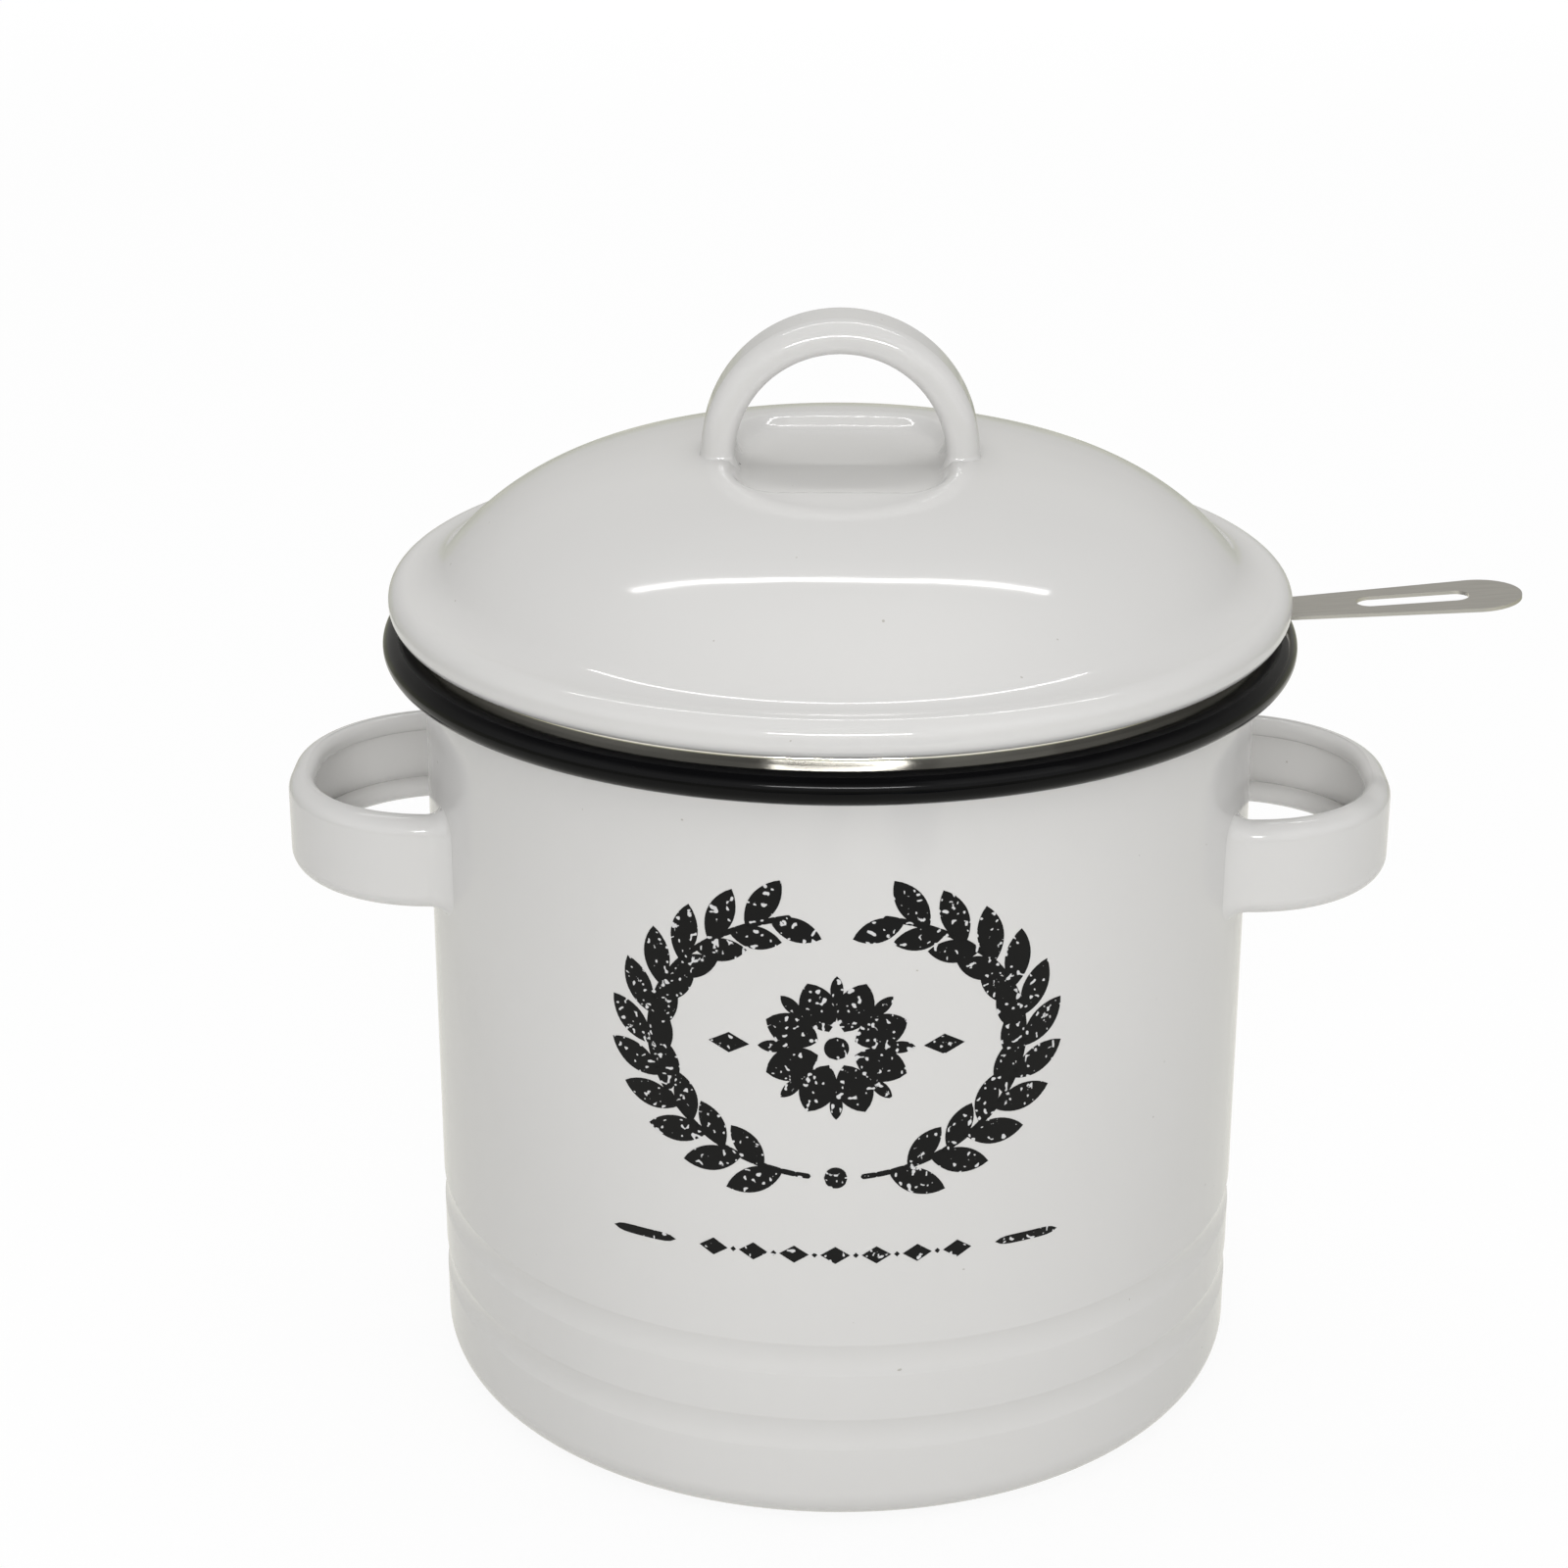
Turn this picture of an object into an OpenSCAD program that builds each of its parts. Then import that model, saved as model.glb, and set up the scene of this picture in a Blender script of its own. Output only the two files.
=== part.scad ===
// Enamelled draining pot: a straight steel pot with a rolled black rim and two
// ear handles, a drop-in stainless strainer and a domed lid with a plug ring.
// Millimetres. The origin is the centre of the pot's flat foot, +Z is up,
// the ear handles lie along X and the strainer's handle points to +X.
// It is drawn closed: the strainer seated on the rim, the lid seated on the strainer.

/* [Pot] */
// Outside radius of the pot's wall
pot_r = 68.5; // [60:0.5:76]
// Height from the foot to the crown of the rolled rim
pot_h = 131.4; // [110:0.2:160]
// Thickness of the enamelled sheet of the pot
pot_wall = 0.7; // [0.6:0.1:1.2]
// Outside radius of the corner between wall and floor
pot_corner = 6; // [4:0.5:10]
// Height of the lower pressed band
low_band_z = 17; // [14:0.5:20]
// Height of the upper pressed band
high_band_z = 30.5; // [27:0.5:36]
// Width of each pressed band
band_w = 6; // [4:0.5:8]
// Depth of each pressed band
band_depth = 0.5; // [0.3:0.1:0.9]

/* [Rolled rim] */
// How far the rolled rim stands out from the wall
rim_out = 6.5; // [5:0.5:9]
// Height of the rolled rim's section
rim_h = 5.2; // [4.4:0.2:7]
// How deep the roll bites into the wall's outer side
rim_bite = 0.4; // [0.2:0.1:0.5]
// Rounding of the roll on its inner side
rim_in_round = 1.4; // [1:0.2:2]
// How far the wall's bare edge ends below the crown
rim_lap = 1.2; // [0.8:0.2:2]

/* [Ear handles] */
// How far an ear handle reaches out from the wall
ear_reach = 23.5; // [18:0.5:30]
// Width of an ear handle across its two legs
ear_w = 55; // [44:1:66]
// Height of the strip that an ear handle is pressed from
ear_h = 16; // [12:0.5:20]
// Height of the middle of the ear handles above the foot
ear_z = 97; // [80:0.5:105]
// Outside radius of an ear handle's two bends
ear_bend = 25; // [16:0.5:26.5]
// Depth of the ear handles' pressed channel
ear_depth = 4.4; // [4:0.1:7]

/* [Strip] */
// Thickness of the handles' pressed strip
strip_wall = 1.2; // [0.8:0.1:1.6]
// Outside rounding of the strip's pressed edges
strip_round = 3; // [2:0.25:3.5]
// Radius of the rolled lip along the strip's edges
strip_lip = 1.8; // [1:0.1:2.2]

/* [Strainer] */
// Thickness of the stainless sheet
steel = 0.4; // [0.3:0.1:0.6]
// Depth of the strainer from the top of its flange to its underside
strainer_depth = 21.5; // [18:0.5:30]
// Height that the flange stands above the pot's rim
flange_h = 1.6; // [1.4:0.1:2.4]
// How far the flange reaches beyond the pot's wall
flange_lap = 1.9; // [1.7:0.1:2.6]
// Rounding of the flange's turned-down lip
flange_round = 0.8; // [0.6:0.1:1]
// Rounding between the flange and the wall
mouth_round = 1.2; // [0.8:0.1:1.6]
// Depth below the flange at which the wall steps in
step_depth = 17; // [13:0.5:18]
// How far the wall steps in
step_in = 1.2; // [0.6:0.1:2]
// Inside radius of the strainer's bottom corner
strainer_corner = 3; // [2:0.25:4]
// Radius of the pressed ring in the strainer's floor
ring_r = 49; // [46:0.5:54]
// Width of the pressed ring
ring_w = 7; // [5:0.5:9]
// Height of the pressed ring
ring_rise = 1; // [0.5:0.1:1.5]
// Radius of the opening under the draining plate
drain_r = 35; // [28:0.5:37]

/* [Draining plate] */
// How far the draining plate overlaps the floor round the opening
plate_lap = 2.2; // [1.5:0.1:3]
// Thickness of the draining plate
plate_t = 0.4; // [0.3:0.1:0.6]
// Distance between neighbouring holes
hole_pitch = 4.2; // [4:0.1:6]
// Diameter of a hole
hole_d = 2.4; // [1.6:0.1:2.8]
// Plain margin between the outermost holes and the opening's edge
hole_margin = 1.4; // [0.8:0.1:4]
// Turn of the rows of holes, in degrees
hole_turn = 10; // [0:1:29]
// Width of the ring that holds the plate down
clamp_w = 3.6; // [3:0.1:5]
// Thickness of that ring above the plate
clamp_t = 0.7; // [0.5:0.1:1]

/* [Strainer handle] */
// Reach of the strainer's handle from the pot's axis to its tip
strap_reach = 112; // [98:1:125]
// Width of the handle where it leaves the flange
strap_root_w = 9; // [7:0.5:12]
// Width of the handle near its tip
strap_tip_w = 15; // [11:0.5:18]
// Thickness of the handle
strap_t = 0.6; // [0.5:0.1:0.7]
// How far the handle's leg runs down the strainer's wall
strap_leg = 9; // [6:0.5:14]
// Upward tilt of the handle's blade, in degrees
strap_tilt = 4.5; // [2:0.5:10]
// Length of the hanging slot
slot_l = 18.5; // [12:0.5:24]
// Width of the hanging slot
slot_w = 5; // [4:0.25:6]
// Distance from the tip to the slot's outer end
slot_end = 8.5; // [7:0.5:12]

/* [Lid] */
// Thickness of the lid's enamelled sheet
lid_wall = 0.8; // [0.6:0.1:1]
// How far the lid's brim reaches beyond the strainer's lip
brim_lap = 3.4; // [2:0.1:5]
// Rounding of the brim's upper edge
brim_top_round = 3; // [2.4:0.1:3.4]
// Rounding of the brim's lower edge
brim_low_round = 2.9; // [2:0.1:3.4]
// Height of the brim from its underside to its top
brim_h = 6.4; // [6.3:0.1:8]
// Radius of the hollow sweep from the brim up to the dome
sweep_r = 8.5; // [6:0.5:11]
// Length of the straight flank between the sweep and the shoulder
flank_l = 2.1; // [0.5:0.1:4]
// Radius of the dome's shoulder
shoulder_r = 43.3; // [38:0.1:50]
// Radius of the dome's crown
crown_r = 86; // [80:1:110]
// Slope where the crown meets the shoulder, in degrees
crown_slope = 18.5; // [16:0.5:21]
// Slope of the flank, in degrees
shoulder_slope = 46.5; // [42:0.5:49]
// Width of the pressed finger hollow under the lid's handle, at its floor
hollow_w = 26; // [22:0.5:32]
// Depth of the finger hollow below the crown
hollow_depth = 3.7; // [2:0.1:4.5]
// Rounding along the finger hollow's floor
hollow_round = 3; // [2:0.25:4]

/* [Plug ring] */
// How far the plug ring drops below the brim's underside
plug_drop = 10.1; // [7:0.1:13]
// Radius of the inward curl at the plug ring's lower edge
plug_curl = 8; // [6:0.5:10]
// Height of that curl
plug_curl_h = 4; // [3:0.25:5]
// Radius of the black bead along the plug ring's lower edge
plug_bead = 0.85; // [0.7:0.05:1]

/* [Lid handle] */
// Outside radius of the lid handle's arch
arch_r = 22.5; // [20:0.5:26]
// Width of the lid handle's strip
arch_w = 13; // [11:0.5:17]
// Depth of the lid handle's pressed channel
arch_depth = 5.5; // [4.5:0.25:6.5]

/* [Fits] */
// Gap between the strainer handle's leg and the inside of the pot
leg_gap = 0.3; // [0.2:0.05:0.6]
// Gap between the plug ring and the inside of the strainer
plug_gap = 0.3; // [0.2:0.05:0.6]
// Gap round the handle in the flange's notch, and round the draining plate
slip_gap = 0.2; // [0.1:0.05:0.4]

/* [Hidden] */
$fn = 96;

white = [0.85, 0.85, 0.85];
black = [0.05, 0.05, 0.05];
stainless = [0.70, 0.69, 0.66];

// Longer than anything here, for cuts that have to run right through
far = 200;

// The chain of radii, from the pot inwards
pot_in = pot_r - pot_wall;
leg_out = pot_in - leg_gap;
bowl_out = leg_out - strap_t;
bowl_in = bowl_out - steel;
plug_r = bowl_in - plug_gap;

// The chain of heights, from the rim upwards and downwards
flange_r = pot_r + flange_lap;
brim_r = flange_r + brim_lap;
flange_top = pot_h + flange_h;
flange_under = flange_top - steel;
bowl_low = flange_top - strainer_depth;
bowl_floor = bowl_low + steel;
plate_top = bowl_floor + plate_t;
plate_r = drain_r + plate_lap;
ledge_z = flange_top + brim_h;

// The rolled rim's section
rim_x0 = pot_r - rim_bite;
rim_x1 = pot_r + rim_out;
rim_z0 = pot_h - rim_h;
rim_out_round = rim_h / 2;

// The dome's arcs are tangent to each other: the sweep starts from the brim's top,
// the flank runs on straight from it, the shoulder bends to the crown
function along(a) = [sin(a), cos(a)];
function uphill(a) = [-cos(a), sin(a)];
sweep_c = [brim_r - brim_top_round, ledge_z + sweep_r];
shoulder_c = sweep_c - (sweep_r + shoulder_r) * along(shoulder_slope)
    + flank_l * uphill(shoulder_slope);
crown_c = shoulder_c - (crown_r - shoulder_r) * along(crown_slope);
dome_top = crown_c[1] + crown_r;
hollow_z = dome_top - hollow_depth;

// A round stretch of an outline about c, from angle a0 to a1
function arc(c, r, a0, a1, n = 8) =
    [for (i = [0:n]) let (a = a0 + (a1 - a0) * i / n) c + r * [cos(a), sin(a)]];
function reversed(p) = [for (i = [len(p) - 1:-1:0]) p[i]];

// A sheet between an outline's outer and inner lines, turned about the axis
module turned_sheet(outer, inner) {
    rotate_extrude() polygon(concat(outer, reversed(inner)));
}

// ---- Pot ----

// A shallow band pressed into the wall, on the line g outside the outer surface
band_r = (band_w * band_w / 4 + band_depth * band_depth) / (2 * band_depth);
band_a = asin(band_w / 2 / band_r);
function band(z, g) =
    arc([pot_r - band_depth + band_r, z], band_r - g, 180 + band_a, 180 - band_a);

function pot_line(g) = concat(
    [[0, -g]],
    arc([pot_r - pot_corner, pot_corner], pot_corner + g, -90, 0),
    band(low_band_z, g),
    band(high_band_z, g),
    [[pot_r + g, pot_h - rim_lap]]);

module rim_section() {
    polygon(concat(
        arc([rim_x1 - rim_out_round, rim_z0 + rim_out_round], rim_out_round, -90, 0),
        arc([rim_x1 - rim_out_round, pot_h - rim_out_round], rim_out_round, 0, 90),
        arc([rim_x0 + rim_in_round, pot_h - rim_in_round], rim_in_round, 90, 180),
        arc([rim_x0 + rim_in_round, rim_z0 + rim_in_round], rim_in_round, 180, 270)));
}

module pot_body() {
    color(white) rotate_extrude() difference() {
        polygon(concat(pot_line(0), reversed(pot_line(-pot_wall))));
        rim_section();
    }
}

module rim_bead() {
    color(black) rotate_extrude() rim_section();
}

// ---- Pressed strip of the three enamelled handles ----

// A channel of depth d and height h: open at x = 0, its back at x = d,
// both edges rolled in to a full round lip
module channel(d, h) {
    difference() {
        rounded(2 * d, h, strip_round);
        rounded(2 * (d - strip_wall), h - 2 * strip_wall, strip_round - strip_wall);
        translate([strip_lip - far, -h]) square([far, 2 * h]);
    }
    for (s = [-1, 1]) translate([strip_lip, s * (h / 2 - strip_lip)]) circle(r = strip_lip);
}

// A rectangle about the origin with round corners
module rounded(w, h, r) {
    square([w - 2 * r, h], center = true);
    square([w, h - 2 * r], center = true);
    for (x = [-1, 1], y = [-1, 1]) translate([x * (w / 2 - r), y * (h / 2 - r)]) circle(r = r);
}

// One half of an ear handle's loop, on the +Y side
module half_ear() {
    cx = pot_r + ear_reach - ear_bend;
    cy = ear_w / 2 - ear_bend;
    inner = ear_bend - ear_depth;
    translate([cx, cy, 0]) rotate_extrude(angle = 90)
        translate([inner, 0]) channel(ear_depth, ear_h);
    // The front run, from the bend to the middle
    translate([cx + inner, cy, 0]) rotate([90, 0, 0])
        linear_extrude(cy) channel(ear_depth, ear_h);
    // The leg, from the bend back to the wall
    translate([0, cy + inner, 0]) rotate([0, 0, 90]) rotate([90, 0, 0])
        linear_extrude(cx) channel(ear_depth, ear_h);
}

module right_handle() {
    color(white) translate([0, 0, ear_z]) difference() {
        for (m = [0, 1]) mirror([0, m, 0]) half_ear();
        cylinder(h = far, r = pot_r, center = true);
    }
}

module left_handle() {
    mirror([1, 0, 0]) right_handle();
}

// ---- Strainer ----

// The strainer's sheet, on the line g below and outside its upper face
ring_arc = (ring_w * ring_w / 4 + ring_rise * ring_rise) / (2 * ring_rise);
ring_a = asin(ring_w / 2 / ring_arc);
step_z = flange_top - step_depth;
foot_in = bowl_in - step_in;
function bowl_line(g) = concat(
    [[flange_r - g, pot_h]],
    arc([flange_r - flange_round, flange_top - flange_round], flange_round - g, 0, 90, 4),
    arc([bowl_in + mouth_round, flange_top - mouth_round], mouth_round - g, 90, 180, 6),
    [[bowl_in + g, step_z], [foot_in + g, step_z - step_in / 2]],
    arc([foot_in - strainer_corner, bowl_floor + strainer_corner], strainer_corner + g, 0, -90),
    arc([ring_r, bowl_floor + ring_rise - ring_arc], ring_arc - g, 90 - ring_a, 90 + ring_a),
    [[drain_r, bowl_floor - g]]);

module strainer_bowl() {
    color(stainless) difference() {
        turned_sheet(bowl_line(0), bowl_line(steel));
        // The notch in the lip that the handle leaves through
        translate([bowl_out + mouth_round, -strap_root_w / 2 - slip_gap, pot_h - far])
            cube([far, strap_root_w + 2 * slip_gap, far + flange_under - pot_h]);
    }
}

// Holes in staggered rows inside radius r
module hole_rows(r) {
    row = hole_pitch * sin(60);
    rows = ceil(r / row);
    for (j = [-rows:rows], i = [-rows - 1:rows + 1]) {
        x = (i + (j % 2 == 0 ? 0 : 0.5)) * hole_pitch;
        y = j * row;
        if (norm([x, y]) <= r) translate([x, y]) circle(d = hole_d, $fn = 24);
    }
}

module mesh_disc() {
    color(stainless) translate([0, 0, bowl_floor]) linear_extrude(plate_t) difference() {
        circle(r = plate_r);
        rotate(hole_turn) hole_rows(drain_r - hole_margin - hole_d / 2);
    }
}

// The ring laps over the plate's edge and is welded to the floor outside it
module mesh_ring() {
    seat_r = plate_r + slip_gap;
    outer = seat_r + clamp_w / 2;
    inner = outer - clamp_w;
    top = plate_top + clamp_t;
    color(stainless) rotate_extrude() polygon(concat(
        [[inner, plate_top], [seat_r, plate_top], [seat_r, bowl_floor], [outer, bowl_floor]],
        arc([outer - clamp_t, top - clamp_t], clamp_t, 0, 90, 4),
        arc([inner + clamp_t, top - clamp_t], clamp_t, 90, 180, 4)));
}

// The handle's outline in plan, from the strainer's wall to the tip
module blade() {
    tip_r = strap_tip_w / 2;
    tip_c = strap_reach - tip_r;
    difference() {
        union() {
            polygon([[bowl_out, -strap_root_w / 2], [tip_c, -tip_r],
                     [tip_c, tip_r], [bowl_out, strap_root_w / 2]]);
            translate([tip_c, 0]) circle(r = tip_r);
        }
        for (x = [strap_reach - slot_end - slot_w / 2, strap_reach - slot_end - slot_l + slot_w / 2])
            translate([x, 0]) circle(d = slot_w);
        translate([strap_reach - slot_end - slot_l + slot_w / 2, -slot_w / 2])
            square([slot_l - slot_w, slot_w]);
    }
}

module strainer_handle() {
    under = flange_under - strap_t;
    bend_x = flange_r + slip_gap;
    color(stainless) difference() {
        union() {
            // The leg, curved to the strainer's wall
            intersection() {
                translate([0, 0, under - strap_leg]) difference() {
                    cylinder(h = strap_leg + strap_t, r = leg_out);
                    translate([0, 0, -1]) cylinder(h = far, r = bowl_out);
                }
                translate([0, -strap_root_w / 2, 0]) cube([far, strap_root_w, far]);
            }
            // The flat root under the flange
            translate([0, 0, under]) intersection() {
                linear_extrude(strap_t) blade();
                translate([0, -far / 2, 0]) cube([bend_x, far, far]);
            }
            // The blade, tilted up from the flange outwards
            translate([bend_x, 0, under]) rotate([0, -strap_tilt, 0]) translate([-bend_x, 0, 0])
                intersection() {
                    linear_extrude(strap_t) blade();
                    translate([bend_x, -far / 2, -1]) cube([far, far, far]);
                }
        }
        // Everything inside the strainer's wall and its mouth rounding
        rotate_extrude() polygon(concat(
            [[0, 0], [bowl_out, 0]],
            reversed(arc([bowl_in + mouth_round, flange_top - mouth_round],
                         mouth_round - steel, 90, 180, 6)),
            [[0, flange_under]]));
    }
}

// ---- Lid ----

// The dome and brim, on the line g outside the outer surface
function dome_line(g) = concat(
    [[0, dome_top + g]],
    arc(crown_c, crown_r + g, 90, 90 - crown_slope),
    arc(shoulder_c, shoulder_r + g, 90 - crown_slope, 90 - shoulder_slope),
    arc(sweep_c, sweep_r - g, 270 - shoulder_slope, 270),
    arc([brim_r - brim_top_round, ledge_z - brim_top_round], brim_top_round + g, 90, 0));

function brim_line(g) = concat(
    arc([brim_r - brim_low_round, flange_top + brim_low_round], brim_low_round + g, 0, -90),
    [[plug_r, flange_top - g]]);

module dome_solid(g) {
    rotate_extrude() polygon(concat(dome_line(g), [[brim_r + g, flange_top], [0, flange_top]]));
}

// The finger hollow: a trough along Y with round floor edges and 45 degree sides,
// its surface moved outwards by g
module hollow(g) {
    half = concat(
        [[0, hollow_z - g]],
        arc([hollow_w / 2, hollow_z + hollow_round], hollow_round + g, -90, -45, 5));
    corner = half[len(half) - 1];
    side = concat(half, [corner + [1, 1] * far]);
    rotate([90, 0, 0]) linear_extrude(far, center = true)
        polygon(concat(side, [for (p = reversed(side)) [-p[0], p[1]]]));
}

module lid_shell() {
    color(white) difference() {
        union() {
            turned_sheet(concat(dome_line(0), brim_line(0)),
                         concat(dome_line(-lid_wall), brim_line(-lid_wall)));
            intersection() {
                dome_solid(0);
                hollow(lid_wall);
            }
        }
        hollow(0);
    }
}

plug_low = flange_top - plug_drop;
plug_curl_a = asin(plug_curl_h / plug_curl);
function skirt_line(g) = concat(
    [[plug_r + g, flange_top + lid_wall]],
    arc([plug_r - plug_curl, plug_low + plug_curl_h], plug_curl + g, 0, -plug_curl_a));

module skirt_section() {
    polygon(concat(skirt_line(0), reversed(skirt_line(-lid_wall))));
}

module lid_skirt() {
    color(white) rotate_extrude() skirt_section();
}

// The black bead is rolled round the plug ring's lower edge
module lid_edge() {
    middle = skirt_line(-lid_wall / 2);
    color(black) rotate_extrude() difference() {
        translate(middle[len(middle) - 1]) circle(r = plug_bead, $fn = 32);
        skirt_section();
    }
}

// The arch stands on the dome at both sides of the finger hollow
module lid_handle() {
    inner = arch_r - arch_depth;
    color(white) difference() {
        translate([0, 0, dome_top]) {
            rotate([90, 0, 0]) rotate_extrude(angle = 180)
                translate([inner, 0]) channel(arch_depth, arch_w);
            for (m = [0, 1]) mirror([m, 0, 0]) translate([inner, 0, -hollow_depth])
                linear_extrude(hollow_depth) channel(arch_depth, arch_w);
        }
        difference() {
            dome_solid(0);
            hollow(0);
        }
    }
}

pot_body();
rim_bead();
left_handle();
right_handle();
strainer_bowl();
mesh_disc();
mesh_ring();
strainer_handle();
lid_shell();
lid_skirt();
lid_edge();
lid_handle();
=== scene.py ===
# %% [markdown]
# # A draining pot in white and black enamel
# This notebook dresses a kitchen pot that is already built in its real size:
# an enamelled pot with ear handles, a stainless strainer that hangs in its
# mouth, and a domed lid. The frame that is loaded here holds every piece and
# the body that it moves with. Nothing below moves or resizes those pieces; it
# gives them smooth surfaces and true finishes. `sizes` reads a piece's measure
# off the frame, so that both descriptions of the pot stay one.

import math

import bmesh
import bpy
from mathutils import Matrix, Vector


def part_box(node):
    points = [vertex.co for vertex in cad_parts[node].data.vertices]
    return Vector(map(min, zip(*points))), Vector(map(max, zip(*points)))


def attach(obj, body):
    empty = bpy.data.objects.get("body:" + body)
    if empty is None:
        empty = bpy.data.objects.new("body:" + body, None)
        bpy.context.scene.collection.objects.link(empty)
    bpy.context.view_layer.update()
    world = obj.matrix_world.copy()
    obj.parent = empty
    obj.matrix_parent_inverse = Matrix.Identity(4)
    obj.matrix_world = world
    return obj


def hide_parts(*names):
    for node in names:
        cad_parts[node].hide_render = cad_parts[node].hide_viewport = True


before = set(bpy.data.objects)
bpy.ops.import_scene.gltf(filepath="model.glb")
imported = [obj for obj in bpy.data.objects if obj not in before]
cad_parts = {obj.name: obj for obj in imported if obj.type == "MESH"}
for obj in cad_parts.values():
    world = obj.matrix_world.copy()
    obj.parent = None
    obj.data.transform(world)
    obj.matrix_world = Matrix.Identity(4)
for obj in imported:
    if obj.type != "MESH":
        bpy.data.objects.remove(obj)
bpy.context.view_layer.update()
MM = 0.001


def put(name, data):
    """A new object in the scene."""
    item = bpy.data.objects.new(name, data)
    bpy.context.scene.collection.objects.link(item)
    return item


def sizes(node):
    """A frame piece's radius, lowest point and highest point, in mm."""
    low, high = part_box(node)
    return max(high.x, high.y) / MM, low.z / MM, high.z / MM


print("pieces in the frame:", len(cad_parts))

# %% [markdown]
# ## Camera
# The camera comes first, because every later choice is judged through it. A
# wide lens close by would bend the round rim, so a long one looks down a
# little from half a metre away: the rim shows its open ellipse and the sides
# stay nearly parallel. A small turn to the left leaves room for the handle.

# %% Place the camera
CAMERA_AT = (0.0, -0.523, 0.306)
LENS_MM = 76.6
SENSOR_MM = 36.0
LOOK_DOWN = 21.4
TURN_LEFT = 1.0
camera_data = bpy.data.cameras.new("camera")
camera_data.sensor_width = SENSOR_MM
camera_data.lens = LENS_MM
camera = put("camera", camera_data)
camera.location = CAMERA_AT
camera.rotation_euler = (math.radians(90 - LOOK_DOWN), 0.0, math.radians(TURN_LEFT))
bpy.context.scene.camera = camera
bpy.context.scene.view_settings.view_transform = "Standard"
print("camera: lens", LENS_MM, "mm, looks down", LOOK_DOWN, "degrees")

# %% [markdown]
# ## Helpers for materials
# Colours are picked as sRGB hex values, as on screen, but the renderer adds
# light up in linear values, so one function turns the first into the second.
# A node could be made, set and wired in a line each; `add` does all three in
# one call, which keeps the materials short enough to read. A noise is set by
# the real size of its patches, which `patches` turns into the texture's scale.

# %% Colour and node helpers
def srgb(code):
    """An sRGB hex colour as linear red, green, blue and alpha."""
    channels = [int(code[i : i + 2], 16) / 255 for i in (1, 3, 5)]
    linear = [c / 12.92 if c <= 0.04045 else ((c + 0.055) / 1.055) ** 2.4 for c in channels]
    return (*linear, 1.0)


def plug(tree, node, inputs):
    """Sets inputs by name in a dict or by order in a tuple, to values, sockets or nodes."""
    if isinstance(inputs, dict):
        pairs = [(node.inputs[key], value) for key, value in inputs.items()]
    else:
        pairs = list(zip([socket for socket in node.inputs if socket.enabled], inputs))
    for socket, value in pairs:
        if isinstance(value, bpy.types.Node):
            value = next(output for output in value.outputs if output.enabled)
        if isinstance(value, bpy.types.NodeSocket):
            tree.links.new(value, socket)
        else:
            socket.default_value = value


def add(tree, kind, inputs=(), **settings):
    """Adds a node with its settings and its inputs."""
    node = tree.nodes.new(kind)
    for key, value in settings.items():
        setattr(node, key, value)
    plug(tree, node, inputs)
    return node


def new_material(name):
    """A node material, its tree and shader, and the piece's own coordinates."""
    material = bpy.data.materials.new(name)
    material.use_nodes = True
    tree = material.node_tree
    place = add(tree, "ShaderNodeTexCoord").outputs["Object"]
    return material, tree, tree.nodes["Principled BSDF"], place


def patches(place, size, detail=2.0):
    """Inputs of a noise whose patches are about size across, in metres."""
    return {"Vector": place, "Scale": 0.5 / size, "Detail": detail}


NOISE = "ShaderNodeTexNoise"
RANGE = "ShaderNodeMapRange"
MIX = "ShaderNodeMix"
BUMP = "ShaderNodeBump"
MATH = "ShaderNodeMath"
print("white in linear values:", [round(c, 3) for c in srgb("#E0DFDD")])

# %% [markdown]
# No real finish is quite even. A single value for each could be picked, but it
# would look like plastic, so `dress` gives every finish three things that vary
# over it: a colour, a gloss and a fine relief.

# %% What all finishes share
def dress(tree, shader, tone, sheen, relief):
    """Gives a shader a mottled colour, an uneven gloss and a fine relief.

    Each is a noise and what it drives: two colours, two roughnesses, or the
    bump's strength and depth. Returns the colour and the bump.
    """
    cloud, pale, dim = tone
    colour = add(tree, MIX, (cloud, srgb(pale), srgb(dim)), data_type="RGBA")
    rough = add(tree, RANGE, {"Value": sheen[0], "To Min": sheen[1], "To Max": sheen[2]})
    bump = add(tree, BUMP, {"Height": relief[0], "Strength": relief[1], "Distance": relief[2]})
    plug(tree, shader, {"Base Color": colour, "Roughness": rough, "Normal": bump})
    return colour, bump


GLASS_IOR = 1.5
print("glass bends light by an index of", GLASS_IOR)

# %% [markdown]
# ## White enamel
# Vitreous enamel is powdered glass fused onto steel at about 820 degrees. It
# is opaque and glossy, with glass's index of refraction of 1.5. The melt never
# levels out fully, so it keeps a faint orange peel some millimetres across, a
# very slight change of tone, and a few pin-prick specks. The specks could be
# tiny meshes; here they are the rare peaks of one more noise.

# %% White enamel
ENAMEL_TONE = 30 * MM
ENAMEL_SHEEN = 11 * MM
ENAMEL_PEEL = 7 * MM
ENAMEL_SPECK = 0.5 * MM
pot_white, tree, shader, place = new_material("white_vitreous_enamel")
cloud = add(tree, NOISE, patches(place, ENAMEL_TONE))
sheen = add(tree, NOISE, patches(place, ENAMEL_SHEEN))
peel = add(tree, NOISE, patches(place, ENAMEL_PEEL, 1.0))
relief = (peel, 0.3, 0.12 * MM)
tone, _ = dress(tree, shader, (cloud, "#E0DFDD", "#D9D8D6"), (sheen, 0.05, 0.12), relief)
dust = add(tree, NOISE, patches(place, ENAMEL_SPECK, 0.0))
speck = add(tree, RANGE, (dust, 0.905, 0.92))
specked = add(tree, MIX, (speck, tone, srgb("#BEBBB5")), data_type="RGBA")
plug(tree, shader, {"Base Color": specked, "IOR": GLASS_IOR})
print(pot_white.name, "with", len(tree.nodes), "nodes")

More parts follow.
